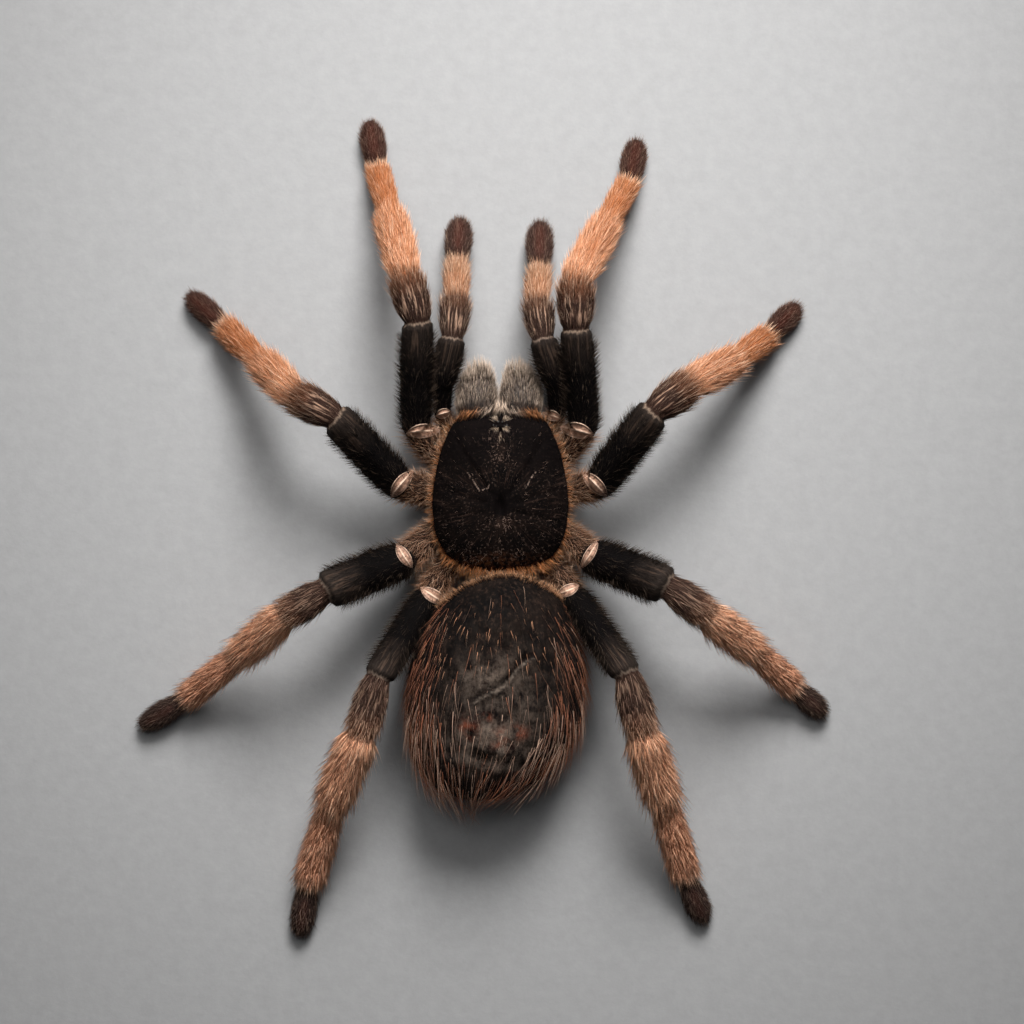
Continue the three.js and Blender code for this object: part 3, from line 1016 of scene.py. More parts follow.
# Hips, bends and half widths of the limbs, hairs included
LEG_BENDS = {
    "leg_left_1": [(-2.2, 8.8), (-7.9, 12.4), (-10.4, 15.8), (-9.9, 32.0), (-11.7, 38.9), (-14.4, 49.1),
                   (-16.7, 57.4), (-18.0, 64.8)],
    "leg_left_2": [(-3.0, 5.1), (-9.0, 6.1), (-12.7, 6.7), (-22.6, 17.2), (-28.8, 20.6), (-34.8, 26.2),
                   (-41.1, 32.2), (-46.8, 37.2)],
    "leg_left_3": [(-2.9, 1.2), (-8.4, -1.4), (-11.8, -4.6), (-24.1, -9.5), (-30.2, -13.2), (-37.8, -19.7),
                   (-47.2, -27.1), (-54.4, -31.5)],
    "leg_left_4": [(-1.9, -2.5), (-6.0, -6.4), (-8.4, -10.5), (-15.9, -22.8), (-18.6, -31.5), (-23.5, -43.3),
                   (-27.7, -56.6), (-29.1, -64.8)],
    "leg_right_1": [(8.0, 8.8), (13.3, 12.2), (16.0, 15.6), (14.6, 30.9), (14.5, 38.0), (19.6, 48.0),
                    (23.3, 55.0), (24.7, 61.8)],
    "leg_right_2": [(8.8, 5.1), (14.5, 6.1), (18.2, 6.8), (26.7, 18.1), (32.1, 22.3), (39.6, 26.3),
                    (45.5, 30.7), (50.3, 35.5)],
    "leg_right_3": [(8.7, 1.2), (13.8, -1.4), (16.9, -4.2), (28.7, -8.8), (34.7, -13.1), (42.5, -19.1),
                    (49.6, -25.2), (54.5, -29.6)],
    "leg_right_4": [(7.7, -2.5), (11.6, -6.4), (14.2, -10.4), (22.4, -22.3), (24.8, -31.3), (28.4, -42.6),
                    (32.4, -55.5), (35.4, -62.6)],
}
PALP_BENDS = {
    "pedipalp_left": [(-0.4, 11.6), (-4.6, 14.6), (-6.3, 18.0), (-6.2, 22.4), (-4.6, 29.7), (-4.0, 35.9),
                      (-4.0, 42.1), (-3.6, 49.2)],
    "pedipalp_right": [(6.2, 11.6), (10.2, 14.6), (11.9, 18.0), (11.7, 22.4), (9.5, 29.6), (8.6, 35.4),
                       (9.0, 40.9), (9.2, 48.7)],
}
LEG_HEIGHTS = [
    [4.6, 5.7, 8.0, 15.0, 15.4, 8.6, 2.6, 1.2],
    [4.6, 5.7, 8.0, 15.4, 15.0, 8.4, 2.6, 1.2],
    [4.6, 5.7, 8.0, 16.0, 14.8, 8.4, 2.6, 1.2],
    [4.6, 5.7, 8.2, 16.6, 15.4, 9.0, 2.8, 1.2],
]
PALP_HEIGHTS = [4.4, 5.0, 6.9, 9.2, 12.0, 10.4, 4.8, 1.2]
LEG_HALF_WIDTHS = [
    [2.1, 2.15, 2.6, 2.8, 2.8, 2.0, 2.05],
    [2.2, 2.3, 2.9, 2.7, 2.75, 2.1, 1.95],
    [2.2, 2.4, 3.2, 2.6, 2.85, 2.3, 2.0],
    [2.1, 2.15, 2.55, 2.65, 3.2, 2.6, 2.1],
]
PALP_HALF_WIDTHS = [1.5, 1.35, 1.45, 2.25, 2.25, 1.95, 2.25]


@dataclass(frozen=True)
class Segment:
    """One segment of a limb.

    Attributes:
        tall: Its height for its width.
        core: The skin's width as a share of the hairy width.
        sections: Where along the segment, and how wide it is there as a share.
        nap: Length of its dense short coat in millimetres.
        naps: How dense that coat is, against the other segments.
        fur: Length of its long thin coat in millimetres.
        furs: How dense that coat is, against the other segments.
        rise: How steeply the hairs stand.
        ruffle: How untidily they lie.
        pale: How far the long hairs bleach.
    """

    tall: float
    core: float
    sections: tuple[tuple[float, float], ...]
    nap: float
    naps: float
    fur: float
    furs: float
    rise: float
    ruffle: float
    pale: float


COXA = Segment(1.0, 0.98, ((0, 0.72), (0.5, 0.95), (0.88, 1.0)), 1.6, 0.5, 2.5, 2.2, 0.7, 2.6, 0.75)
TROCHANTER = Segment(1.02, 0.95, ((0.18, 0.94), (0.55, 1.0), (0.9, 0.95)), 1.4, 0.6, 2.4, 2.2, 0.7, 2.4, 0.6)
FEMUR_SECTIONS = ((0.08, 0.94), (0.28, 0.99), (0.6, 1.0), (0.9, 0.99), (0.975, 0.98))
FEMUR = Segment(1.12, 0.95, FEMUR_SECTIONS, 0.5, 1.0, 1.7, 3.4, 0.9, 1.2, 0.15)
FEMUR_BOW = Segment(1.12, 0.97, ((0.15, 0.94), (0.5, 1.0), (0.85, 1.1)), 0.5, 1.0, 1.4, 3.2, 0.9, 1.2, 0.12)
FEMUR_END = Segment(1.12, 0.95, ((0.25, 0.96), (0.6, 1.0), (0.9, 1.0), (0.975, 0.98)), 0.5, 1.0, 1.5, 3.2, 0.9, 1.2,
                    0.2)
PATELLA = Segment(1.05, 0.92, ((0.03, 0.78), (0.2, 0.95), (0.5, 1.07), (0.8, 1.04), (0.96, 0.88)), 1.1, 0.7, 2.6, 1.1,
                  0.3, 0.9, 0.6)
TIBIA = Segment(1.0, 0.82, ((0.04, 0.88), (0.3, 1.0), (0.6, 1.02), (0.85, 0.95), (0.97, 0.84)), 2.0, 1.05, 3.6, 2.2,
                0.32, 0.9, 1.0)
METATARSUS = Segment(0.95, 0.85, ((0.04, 0.86), (0.4, 1.0), (0.8, 1.0), (0.97, 0.9)), 1.7, 1.15, 2.8, 1.8,
                     0.32, 0.85, 0.85)
TARSUS = Segment(0.85, 0.86, ((0.03, 0.66), (0.22, 0.92), (0.48, 1.05), (0.72, 0.99), (0.9, 0.76), (1.0, 0.36)),
                 0.95, 2.0, 1.5, 1.4, 0.5, 0.9, 0.35)
LEG_SEGMENTS = [COXA, TROCHANTER, FEMUR, PATELLA, TIBIA, METATARSUS, TARSUS]
PALP_SEGMENTS = [COXA, TROCHANTER, FEMUR_BOW, FEMUR_END, PATELLA, TIBIA, TARSUS]


@dataclass(frozen=True)
class Pad:
    """A bare leaf-shaped pad on top of a limb's root.

    Attributes:
        x: Its middle.
        y: Its middle.
        length: Its length in millimetres.
        width: Its width in millimetres.
        turn: Its long axis, in degrees from +X.
    """

    x: float
    y: float
    length: float
    width: float
    turn: float


def top_of(tree: BVHTree, x: float, y: float) -> float | None:
    """Return how high a skin's top lies at a place, or None beside the skin."""
    hit = tree.ray_cast(Vector((x, y, ABOVE)), Vector((0, 0, -1)))[0]
    return hit.z if hit else None


@dataclass
class Limb(SubAssembly):
    """A leg or a palp: a skin in seven segments, a leaf-shaped pad and its hairs.

    Attributes:
        name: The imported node's name.
        bends: Where it bends, with heights.
        widths: Half width of each segment, hairs included.
        segments: The kinds of its segments.
        tone: The cast of its shins' fur.
        pad: The pad on its root.
        seed: Fixes what is random.
        along: The layer along at the start of each segment and at the end.
        shaggy: How long the fur of its shin is, against the others.
        naps: How many short hairs it has.
        furs: How many long hairs it has.
        sides: Vertices around the skin.
        step: Distance between sections in millimetres.
        lean: The share of a segment over which its sections turn towards the next one.
        crease_depth: How much narrower a joint's groove is, as a share.
        crease_width: Half width of a joint's groove in millimetres.
    """

    name: str
    bends: Values
    widths: list[float]
    segments: list[Segment]
    tone: Tone
    pad: Pad
    seed: int
    along: list[float]
    shaggy: float = 1.0
    naps: int = 9000
    furs: int = 4200
    sides: int = 28
    step: float = 0.38
    lean: float = 0.3
    crease_depth: float = 0.12
    crease_width: float = 0.28

    def skin(self) -> Skin:
        """Build the skin with all the layers that the finish and the coats read.

        Returns:
            The skin.
        """
        turns = unit(np.diff(self.bends, axis=0))
        lengths = np.linalg.norm(np.diff(self.bends, axis=0), axis=1)
        centres, ways, tall, places, run = [], [], [], [], []
        travelled = 0.0
        for i, segment in enumerate(self.segments):
            count = max(3, round(lengths[i] / self.step))
            last = i == len(self.segments) - 1
            before = unit(turns[max(i - 1, 0)] + turns[i])
            after = unit(turns[i] + turns[min(i + 1, len(turns) - 1)])
            for k in range(count):
                t = min((k / (count - 1) * count if last else k + 0.5) / count, 1.0)
                way = turns[i] + (before - turns[i]) * max(1 - t / self.lean, 0)
                way = way + (after - way) * max(1 - (1 - t) / self.lean, 0)
                centres.append(self.bends[i] + (self.bends[i + 1] - self.bends[i]) * t)
                ways.append(unit(way))
                places.append(i + t)
                tall.append(segment.tall)
                run.append(travelled + lengths[i] * t)
            travelled += lengths[i]
        places, run, ways = np.array(places), np.array(run), np.array(ways)
        wide = self._smoothed(np.interp(places, *self._outline()))
        wide *= 1 - self._creases(run, np.cumsum(lengths))
        tall = wide * self._smoothed(np.array(tall))
        skin = Loft(np.array(centres), ways, wide, tall, tall, self.sides).skin()
        self._add_layers(skin, places, run, ways)
        return skin

    def _outline(self) -> tuple[list[float], list[float]]:
        """List the skin's half widths at places counted in segments."""
        knots, shares = [], []
        for i, segment in enumerate(self.segments):
            for t, share in segment.sections:
                knots.append(i + t)
                shares.append(self.widths[i] * segment.core * share)
        return knots, shares

    @staticmethod
    def _smoothed(values: Values) -> Values:
        """Round off the kinks of a row of values, and keep its ends."""
        padded = np.concatenate([values[:1], values, values[-1:]])
        return np.convolve(padded, [0.25, 0.5, 0.25], mode="valid")

    def _creases(self, run: Values, joints: Values) -> Values:
        """Narrow grooves where two segments meet.

        Args:
            run: Distance along the limb of each section.
            joints: Distance along the limb of each segment's end.

        Returns:
            How much narrower each section is, as a share.
        """
        narrow = np.zeros(len(run))
        for joint in joints[1:-1]:
            narrow += self.crease_depth * bell(run - joint, self.crease_width)
        return narrow

    def _add_layers(self, skin: Skin, places: Values, run: Values, ways: Values) -> None:
        """Add the layers that colours and hairs read.

        Args:
            skin: The skin to dress.
            places: Segment count of each section.
            run: Distance along the limb of each section.
            ways: Direction of each section.
        """
        station = skin.layers["station"].astype(int)
        turn = skin.layers["turn"]
        place = places[station]
        around = 2.0 * np.stack([np.cos(turn), np.sin(turn)], axis=1)
        skin.layers["grain"] = np.column_stack([around, 0.22 * run[station] + self.seed])
        counted = np.interp(place, range(len(self.along)), self.along)
        skin.layers["along"] = counted
        kind = np.minimum(place.astype(int), len(self.segments) - 1)
        off_top = np.abs(np.degrees(turn) - 90)
        uneven = 1 + 0.35 * lumps(skin.points, 0.8, self.seed + 5.0)
        broad = (1 - smooth_step(off_top, 30, 62)) * uneven
        strength = 0.45 if self.tone is Tone.PINK else 0.85
        knee = strength * between(counted, 3.06, 3.25, 3.6, 3.9)
        thigh = 0.1 * between(counted, 2.6, 2.85, 2.95, 2.98)
        skin.layers["bare"] = np.clip(broad * (knee + thigh), 0, 1)
        spin = lumps(skin.points, 1.5, self.seed + 11.0)
        way = ways[station]
        skin.layers["comb"] = unit(way + 0.09 * spin[:, None] * flat(way[:, 1], -way[:, 0]))
        splay = 0.5 + 0.9 * np.abs(np.cos(turn)) ** 1.5
        skin.layers["rise"] = self._read(kind, "rise") * splay * (1 + 0.15 * lumps(skin.points, 1.1, self.seed + 17.0))
        sole = between(counted, 6.1, 6.35, 6.75, 6.95)
        redness = 0.25 if self.tone is Tone.PINK else 0.5
        skin.layers["warm"] = redness * bell(off_top - 4, 20) * sole
        skin.layers["ruffle"] = self._read(kind, "ruffle")
        skin.layers["pale"] = self._read(kind, "pale")
        skin.points += 0.05 * lumps(skin.points, 1.4, self.seed)[:, None] * np.array([0.0, 0.0, 1.0])

    def _read(self, kind: Values, key: str) -> Values:
        """Read one size of the segment that each vertex is in."""
        return np.array([getattr(segment, key) for segment in self.segments])[kind]

    def _coat_skin(self, skin: Skin, reach_key: str, count_key: str) -> Skin:
        """Share the skin with the reach and density of one coat.

        Args:
            skin: The limb's skin.
            reach_key: The segment size that holds the hairs' length.
            count_key: The segment size that holds their number.

        Returns:
            A skin with the same points and faces.
        """
        along = skin.layers["along"]
        places = np.interp(along, self.along, range(len(self.along)))
        kind = np.minimum(places.astype(int), len(self.segments) - 1)
        below = np.sin(skin.layers["turn"]) < -0.35
        density = self._read(kind, count_key) * np.where(below, 0.45, 1.0)
        density *= 1 - 0.55 * skin.layers["bare"]
        for seam, width in ((3.0, 0.016), (2.0, 0.05)):
            density *= 1 - bell(along - seam, width)
        knee = smooth_step(along, 2.82, 2.95) * (along < 3.0)
        reach = self._read(kind, reach_key) * (1 - 0.5 * knee)
        if reach_key == "fur":
            shin = between(along, 3.6, 4.1, 5.8, 6.0)
            thigh = between(along, 2.05, 2.2, 2.9, 3.0)
            density *= 1 - 0.75 * thigh * smooth_step(np.sin(skin.layers["turn"]), 0.4, 0.85)
            density *= 1 - 0.9 * knee
            density *= 1 + 1.6 * between(along, 3.5, 3.9, 4.0, 4.3)
            reach = reach * (1 + (self.shaggy - 1) * shin)
        return skin.coated(density, reach, skin.layers["rise"])

    def pad_skin(self, skin: Skin) -> Skin:
        """Lay the leaf-shaped pad on top of the limb's root.

        Args:
            skin: The limb's skin.

        Returns:
            The pad as a closed thin leaf with the layers ridge and groove.
        """
        rows, columns, thick = 27, 17, 0.55
        tree = skin.tree()
        turn = math.radians(self.pad.turn)
        ahead = np.array([math.cos(turn), math.sin(turn)])
        aside = np.array([-ahead[1], ahead[0]])
        tops, ridge, groove = [], [], []
        for i in range(rows):
            u = -1 + 2 * i / (rows - 1)
            half = max(1 - abs(u) ** 2.2, 0.03)
            for j in range(columns):
                v = -1 + 2 * j / (columns - 1)
                plan = np.array([self.pad.x, self.pad.y]) + ahead * u * self.pad.length / 2
                plan = plan + aside * v * half * self.pad.width / 2
                midrib, brim, rim = np.array(v + 0.1 * u), np.array(abs(v) - 0.9), np.array(abs(v) - 1)
                crest = 0.16 * (1 - abs(v)) * half + 0.16 * float(bell(brim, 0.12)) * half
                crest += 0.24 * float(bell(midrib, 0.16)) * half
                tops.append([plan[0], plan[1], top_of(tree, *plan), crest + 0.1])
                ridge.append(min(float(bell(midrib, 0.1)) * half + 0.6 * float(bell(rim, 0.08)), 1.0))
                groove.append(0.85 * float(bell(np.array(abs(v) - 0.78), 0.13)))
        lowest = min(top[2] for top in tops if top[2] is not None)
        upper = np.array([[x, y, (lowest if z is None else z) + crest] for x, y, z, crest in tops])
        lower = upper - np.array([0.0, 0.0, thick])
        layers = {"ridge": np.array(ridge * 2), "groove": np.array(groove * 2)}
        return Skin(np.vstack([upper, lower]), self._pad_faces(rows, columns), layers)

    @staticmethod
    def _pad_faces(rows: int, columns: int) -> list[Face]:
        """List the faces of a pad: its top, its underside and its rim."""
        faces: list[Face] = []
        count = rows * columns
        for i in range(rows - 1):
            for j in range(columns - 1):
                a = i * columns + j
                quad = (a, a + columns, a + columns + 1, a + 1)
                faces += [quad, tuple(count + v for v in reversed(quad))]
        rim = [*range(columns), *range(2 * columns - 1, count, columns), *range(count - 2, count - columns - 1, -1),
               *range(count - 2 * columns, 0, -columns)]
        return faces + [(a, b, count + b, count + a) for a, b in zip(rim, rim[1:] + rim[:1])]

    def seat(self) -> tuple[str, str]:
        """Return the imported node's name and its material slot."""
        return self.name, "leg_fur" if self.name.startswith("leg") else "palp_fur"

    def parts(self) -> Parts:
        """Return the skin and the pad, and the short and the long coat."""
        skin, cast = self.skin(), self.tone.value
        nap = Coat(self.name + "_nap", self.naps, 1.0, 0.058, 0.16, 0.06, 1, self.seed)
        fur = Coat(self.name + "_fur", self.furs, 1.0, 0.062, 0.22, 0.1, 2, self.seed + 40)
        return [
            (self.name + "_skin", skin, "skin_" + cast),
            (self.name + "_pad", self.pad_skin(skin), "pad"),
        ], [
            (nap, self._coat_skin(skin, "nap", "naps"), "nap_" + cast),
            (fur, self._coat_skin(skin, "fur", "furs"), "fur_" + cast),
        ]


PADS = {
    "leg_left_1": Pad(-9.2, 15.3, 5.5, 2.2, 8.0),
    "leg_left_2": Pad(-12.6, 7.0, 5.6, 2.1, 52.0),
    "leg_left_3": Pad(-12.1, -4.2, 4.6, 1.8, -56.0),
    "leg_left_4": Pad(-7.5, -10.5, 5.2, 2.0, -32.0),
    "leg_right_1": Pad(14.9, 15.4, 5.5, 2.4, -14.0),
    "leg_right_2": Pad(17.7, 7.0, 5.7, 2.1, -45.0),
    "leg_right_3": Pad(16.8, -4.0, 5.4, 1.5, 59.0),
    "leg_right_4": Pad(13.5, -9.6, 4.0, 1.8, 25.0),
    "pedipalp_left": Pad(-6.1, 18.1, 2.6, 1.5, 20.0),
    "pedipalp_right": Pad(11.0, 17.8, 3.2, 1.6, -20.0),
}
# How long the fur of the shins is on each pair of legs, against the others
SHAGGY = [0.8, 0.95, 1.05, 1.15]


def all_limbs() -> list[Limb]:
    """List the eight legs and the two palps."""
    limbs = []
    for name, plan in LEG_BENDS.items():
        pair = int(name[-1]) - 1
        bends = np.column_stack([np.array(plan), LEG_HEIGHTS[pair]])
        tone = Tone.ORANGE if pair < 2 else Tone.PINK
        limbs.append(Limb(name, bends, LEG_HALF_WIDTHS[pair], LEG_SEGMENTS, tone, PADS[name], len(limbs) + 1,
                          along=[0, 1, 2, 3, 4, 5, 6, 7], shaggy=SHAGGY[pair]))
    for name, plan in PALP_BENDS.items():
        bends = np.column_stack([np.array(plan), PALP_HEIGHTS])
        limbs.append(Limb(name, bends, PALP_HALF_WIDTHS, PALP_SEGMENTS, Tone.TAN, PADS[name], len(limbs) + 1,
                          along=[0, 1, 2, 2.5, 3, 4, 6, 7], shaggy=0.75, naps=5000, furs=2400))
    return limbs


@dataclass
class Cephalothorax(SubAssembly):
    """The shield with its eye mound, the underside below it and their hairs.

    Attributes:
        x: The midline.
        middle_y: Where the shield is widest.
        rim: Height of its rim.
        dome: Height of its top above the rim.
        fovea_y: Where the dimple in its middle lies.
        eyes_y: Where the eye mound lies.
        rings: Sections from the middle to the rim.
        sectors: Vertices around.
        outline: Its edge from the front to the rear: y, and how far it is from the midline.
        cracks: The corners of the fine pale cracks.
        grooves: The grooves' bearings in degrees from the front, and their depths.
        eyes_right: The eyes right of the midline: how far out, how far ahead of the mound's middle, and radius.
        edge_depth: How thick the rim is.
        under: The underside's width as a share of the top's.
    """

    x: float = 2.9
    middle_y: float = 5.2
    rim: float = 8.9
    dome: float = 4.4
    fovea_y: float = 3.2
    eyes_y: float = 16.3
    rings: int = 64
    sectors: int = 240
    outline: tuple[tuple[float, float], ...] = (
        (18.3, 0.0), (18.25, 3.0), (17.95, 5.2), (17.4, 6.5), (16.6, 7.3), (14.4, 8.45), (12.3, 9.25), (10.2, 9.8),
        (8.1, 10.2), (5.2, 10.6), (1.9, 10.5), (-0.6, 10.15), (-2.25, 9.5), (-4.2, 8.2), (-5.3, 6.8), (-6.0, 5.2),
        (-6.4, 2.8), (-6.5, 0.0),
    )
    cracks: tuple[tuple[tuple[float, float], ...], ...] = (
        ((-2.2, 8.8), (-1.3, 7.5), (-0.3, 5.9), (0.9, 6.3), (2.0, 7.8)), ((6.9, 6.3), (7.6, 7.8), (8.5, 9.0)),
    )
    grooves: tuple[tuple[float, float], ...] = ((33, 0.2), (72, 0.13), (104, 0.13), (138, 0.13), (180, 0.1))
    eyes_right: tuple[tuple[float, float, float], ...] = (
        (0.32, 0.3, 0.26), (0.98, 0.52, 0.21), (0.62, -0.32, 0.16), (1.05, -0.2, 0.2),
    )
    edge_depth: float = 0.45
    under: float = 0.97

    def shield(self) -> Skin:
        """Build the shield: a domed top with grooves, over a flat underside.

        Returns:
            The closed shield with its layers.
        """
        angles = np.arange(self.sectors) * 2 * math.pi / self.sectors
        edge = self._edge(angles)
        shares = np.sin(np.arange(1, self.rings + 1) / self.rings * math.pi / 2)
        middle = np.array([self.x, self.middle_y])
        plan = middle + (edge - middle)[None, :, :] * shares[:, None, None]
        plan = np.vstack([middle[None, :], plan.reshape(-1, 2)])
        radii = np.concatenate([[0.0], np.repeat(shares, self.sectors)])
        top = flat(plan[:, 0], plan[:, 1])
        top[:, 2] = self._height(top, radii)
        under = top[-self.sectors:].copy()
        under[:, :2] = (under[:, :2] - middle) * self.under + middle
        under[:, 2] = self.rim - self.edge_depth
        skin = Skin(np.vstack([top, under, [[*middle, self.rim - self.edge_depth]]]), self._shield_faces())
        self._dress(skin)
        return skin

    def _edge(self, angles: Values) -> Values:
        """Find the outline's places seen from the middle.

        Args:
            angles: Directions from the middle, counted from +X.

        Returns:
            One row of x and y for each direction.
        """
        right = np.array([(half, y - self.middle_y) for y, half in self.outline])
        left = right[-2:0:-1] * [-1, 1]
        loop = np.vstack([right, left])
        bearing = np.unwrap(np.arctan2(loop[:, 1], loop[:, 0]))
        order = np.argsort(bearing)
        bearing, reach = bearing[order], np.linalg.norm(loop, axis=1)[order]
        bearing = np.concatenate([bearing - 2 * math.pi, bearing, bearing + 2 * math.pi])
        reach = np.interp(angles, bearing, np.tile(reach, 3))
        reach = (np.roll(reach, 1) + 2 * reach + np.roll(reach, -1)) / 4
        ways = np.column_stack([np.cos(angles), np.sin(angles)])
        return np.array([self.x, self.middle_y]) + ways * reach[:, None]

    def _height(self, points: Values, radii: Values) -> Values:
        """Work out the height of the top.

        Args:
            points: The places in plan.
            radii: 0 in the middle and 1 at the rim.

        Returns:
            The heights.
        """
        x = points[:, 0] - self.x
        y = points[:, 1] - self.fovea_y
        height = self.rim + self.dome * (1 - radii ** 2.8) ** 0.6
        bearing = np.degrees(np.arctan2(np.abs(x), y))
        away = np.hypot(x, y)
        inner = smooth_step(away, 1.2, 3.0) * (1 - smooth_step(radii, 0.8, 0.97))
        for groove, depth in self.grooves:
            offset = np.radians(np.abs(bearing - groove)) * away
            height -= depth * bell(offset, 0.45) * inner
        head = smooth_step(35 - bearing, -4, 8) * smooth_step(away, 2.0, 6.0) * (1 - smooth_step(radii, 0.7, 1.0))
        height += 0.3 * head
        height -= 1.1 * bell(np.hypot(x / 0.75, y / 1.9), 1.0)
        mound = np.hypot(x / 1.35, (points[:, 1] - self.eyes_y) / 0.9)
        height += 1 - smooth_step(mound, 0.35, 1.25)
        height += 0.07 * lumps(points, 1.6, 3.0)
        return height

    def _shield_faces(self) -> list[Face]:
        """List the shield's faces: the top, the rim and the underside."""
        faces: list[Face] = []
        n, bottom = self.sectors, 1 + self.rings * self.sectors
        for k in range(n):
            after = (k + 1) % n
            faces.append((0, 1 + k, 1 + after))
            faces += [(low + k, low + n + k, low + n + after, low + after) for low in range(1, bottom, n)]
            faces.append((bottom + k, bottom + n, bottom + after))
        return faces

    def _dress(self, skin: Skin) -> None:
        """Add the layers that the velvet and its hairs read."""
        points = skin.points
        x = points[:, 0] - self.x
        y = points[:, 1] - self.fovea_y
        away = np.hypot(x, y)
        bearing = np.arctan2(x, y)
        skin.layers["grain"] = np.column_stack([np.cos(bearing) * 9, np.sin(bearing) * 9, away * 0.12])
        behind = bell(np.hypot(x / 2.7, (y + 2.2) / 1.2), 1.0)
        crown = 0.6 * bell(x / 1.8, 1.0) * between(y, 5.0, 7.5, 11.0, 12.5)
        flank = smooth_step(away, 2.5, 5.0) * (1 - smooth_step(y, 4.0, 8.0))
        back = 0.35 * smooth_step(-y, 5.0, 7.5)
        dust = np.clip(0.04 + behind + crown + 0.14 * flank + back, 0, 1)
        skin.layers["dust"] = dust * smooth_step(away, 0.9, 1.8)
        skin.layers["worn"] = flank
        edge = smooth_step(-y - 0.1 * np.abs(x), 6.0, 8.8)
        skin.layers["rust"] = 0.85 * edge * smooth_step(lumps(points, 0.5, 4.0), -0.3, 0.5)
        skin.layers["crack"] = self._cracks(points)
        skin.layers["comb"] = unit(flat(x, y * 0.9))

    def _cracks(self, points: Values) -> Values:
        """Draw the fine pale cracks beside the dimple.

        Args:
            points: The places.

        Returns:
            0 away from the cracks and 1 on them.
        """
        drawn = np.zeros(len(points))
        for crack in self.cracks:
            for start, end in zip(crack, crack[1:]):
                first, way = np.array(start), np.subtract(end, start)
                share = np.clip((points[:, :2] - first) @ way / (way @ way), 0, 1)
                away = np.linalg.norm(points[:, :2] - first - share[:, None] * way, axis=1)
                drawn = np.maximum(drawn, bell(away, 0.14))
        return drawn

    def _nap(self, skin: Skin) -> Skin:
        """Share the shield with the layers of its short velvet."""
        return skin.coated(np.where(skin.points[:, 2] > self.rim + 0.15, 1.0, 0.0), rise=0.7)

    def _fringe(self, skin: Skin) -> Skin:
        """Share the shield with the layers of the rust-brown fringe at its rim."""
        points = skin.points
        x = points[:, 0] - self.x
        front = smooth_step(points[:, 1], 15.5, 17.2)
        rear = smooth_step(-points[:, 1], 0.0, 5.0)
        brim = self.rim + 0.12 + 1.1 * smooth_step(-points[:, 1] - 0.12 * np.abs(x), 3.2, 4.6)
        low = (points[:, 2] < brim) & (np.hypot(x, points[:, 1] - self.middle_y) > 5)
        comb = skin.layers["comb"]
        swirl = flat(-comb[:, 1], comb[:, 0])
        tangle = (0.6 + 0.7 * rear) * lumps(points, 1.3, 9.0)
        way = comb + swirl * tangle[:, None] + np.array([0.0, -0.3, 0.22])
        density = np.where(low, 1.0 - 0.9 * front + 0.3 * rear, 0.0)
        reach = (0.8 + 0.45 * rear) * (1 + 0.45 * rear * lumps(points, 0.7, 19.0))
        return skin.coated(density, reach=reach, rise=0.14, comb=unit(way))

    def _visor(self, skin: Skin) -> Skin:
        """Share the shield with the layers of the hairs that stand forward over the chelicerae's roots."""
        points = skin.points
        x = points[:, 0] - self.x
        band = smooth_step(points[:, 1] + 0.15 * np.abs(x), 17.5, 17.9) * smooth_step(points[:, 2], 8.8, 9.1)
        band *= 1 - smooth_step(points[:, 2], 10.6, 11.2)
        lean = -0.5 * np.tanh(x / 1.5)
        steep = 0.42 + 0.75 * smooth_step(np.abs(x), 0.8, 2.2)
        way = flat(lean + 0.4 * lumps(points, 0.9, 14.0), 1.0, steep)
        orange = smooth_step(np.abs(x), 3.0, 4.8)
        return skin.coated(band, reach=1.0 - 0.02 * np.abs(x), rise=0.05, comb=unit(way), orange=orange)

    def _star(self, skin: Skin) -> Skin:
        """Share the shield with the layers of the pale tufts around the eyes and the stripe behind them."""
        points = skin.points
        x = points[:, 0] - self.x
        y = points[:, 1] - self.eyes_y
        ring = np.hypot(x, y / 0.8)
        spokes = 0.5 - 0.5 * np.cos(4 * np.arctan2(y, x))
        tufts = bell(ring - 1.0, 0.22) * spokes ** 5
        stripe = 0.16 * bell(x + 0.16 * (y + 1.0), 0.13) * between(-y, 0.9, 1.2, 2.3, 3.0)
        density = np.where(points[:, 2] > self.rim + 0.4, tufts + stripe, 0.0)
        return skin.coated(density, rise=0.4, comb=unit(flat(x, y) + TINY))

    def _stray(self, skin: Skin) -> Skin:
        """Share the shield with the layers of fine pale hairs that lie outwards on the velvet."""
        points = skin.points
        clusters = smooth_step(lumps(points, 1.5, 6.0), 0.05, 0.5)
        density = np.where(points[:, 2] > self.rim + 1.0, clusters * skin.layers["dust"] + 0.02, 0.0)
        return skin.coated(density, rise=0.1)

    def sternum(self) -> Skin:
        """Build the hide under the shield, between the limbs' roots."""
        shares = -np.cos(np.pi * (np.arange(21) + 0.3) / 20.6)
        half = np.sqrt(1 - shares ** 2)
        centres = flat(self.x, 4.4 + 8.6 * shares, 5.7)
        return Loft(centres, rows_along_y(21), 4.7 * half, np.full(21, 2.9), 3.3 * np.sqrt(half), 36).skin()

    def pleura(self) -> Skin:
        """Build the soft skin between the shield's rim and the limbs' roots, with its hairs' layers.

        Returns:
            The closed skin.
        """
        sides = 96
        edge = self._edge(np.arange(sides) * 2 * math.pi / sides)
        middle = np.array([self.x, self.middle_y])
        rows = [(0.97, self.rim - 0.3), (0.96, 8.1), (0.9, 7.3), (0.78, 6.6)]
        points = [[*(middle + (place - middle) * share), height] for share, height in rows for place in edge]
        points = np.array(points + [[*middle, rows[0][1]], [*middle, rows[-1][1]]])
        outward = flat(points[:, 0] - self.x, points[:, 1] - self.middle_y)
        side = np.where((points[:, 2] < self.rim - 0.35) & (points[:, 1] < 15.5), 1.0, 0.0)
        return Skin(points, tube_faces(len(rows), sides)).coated(side, rise=0.2, comb=unit(outward))

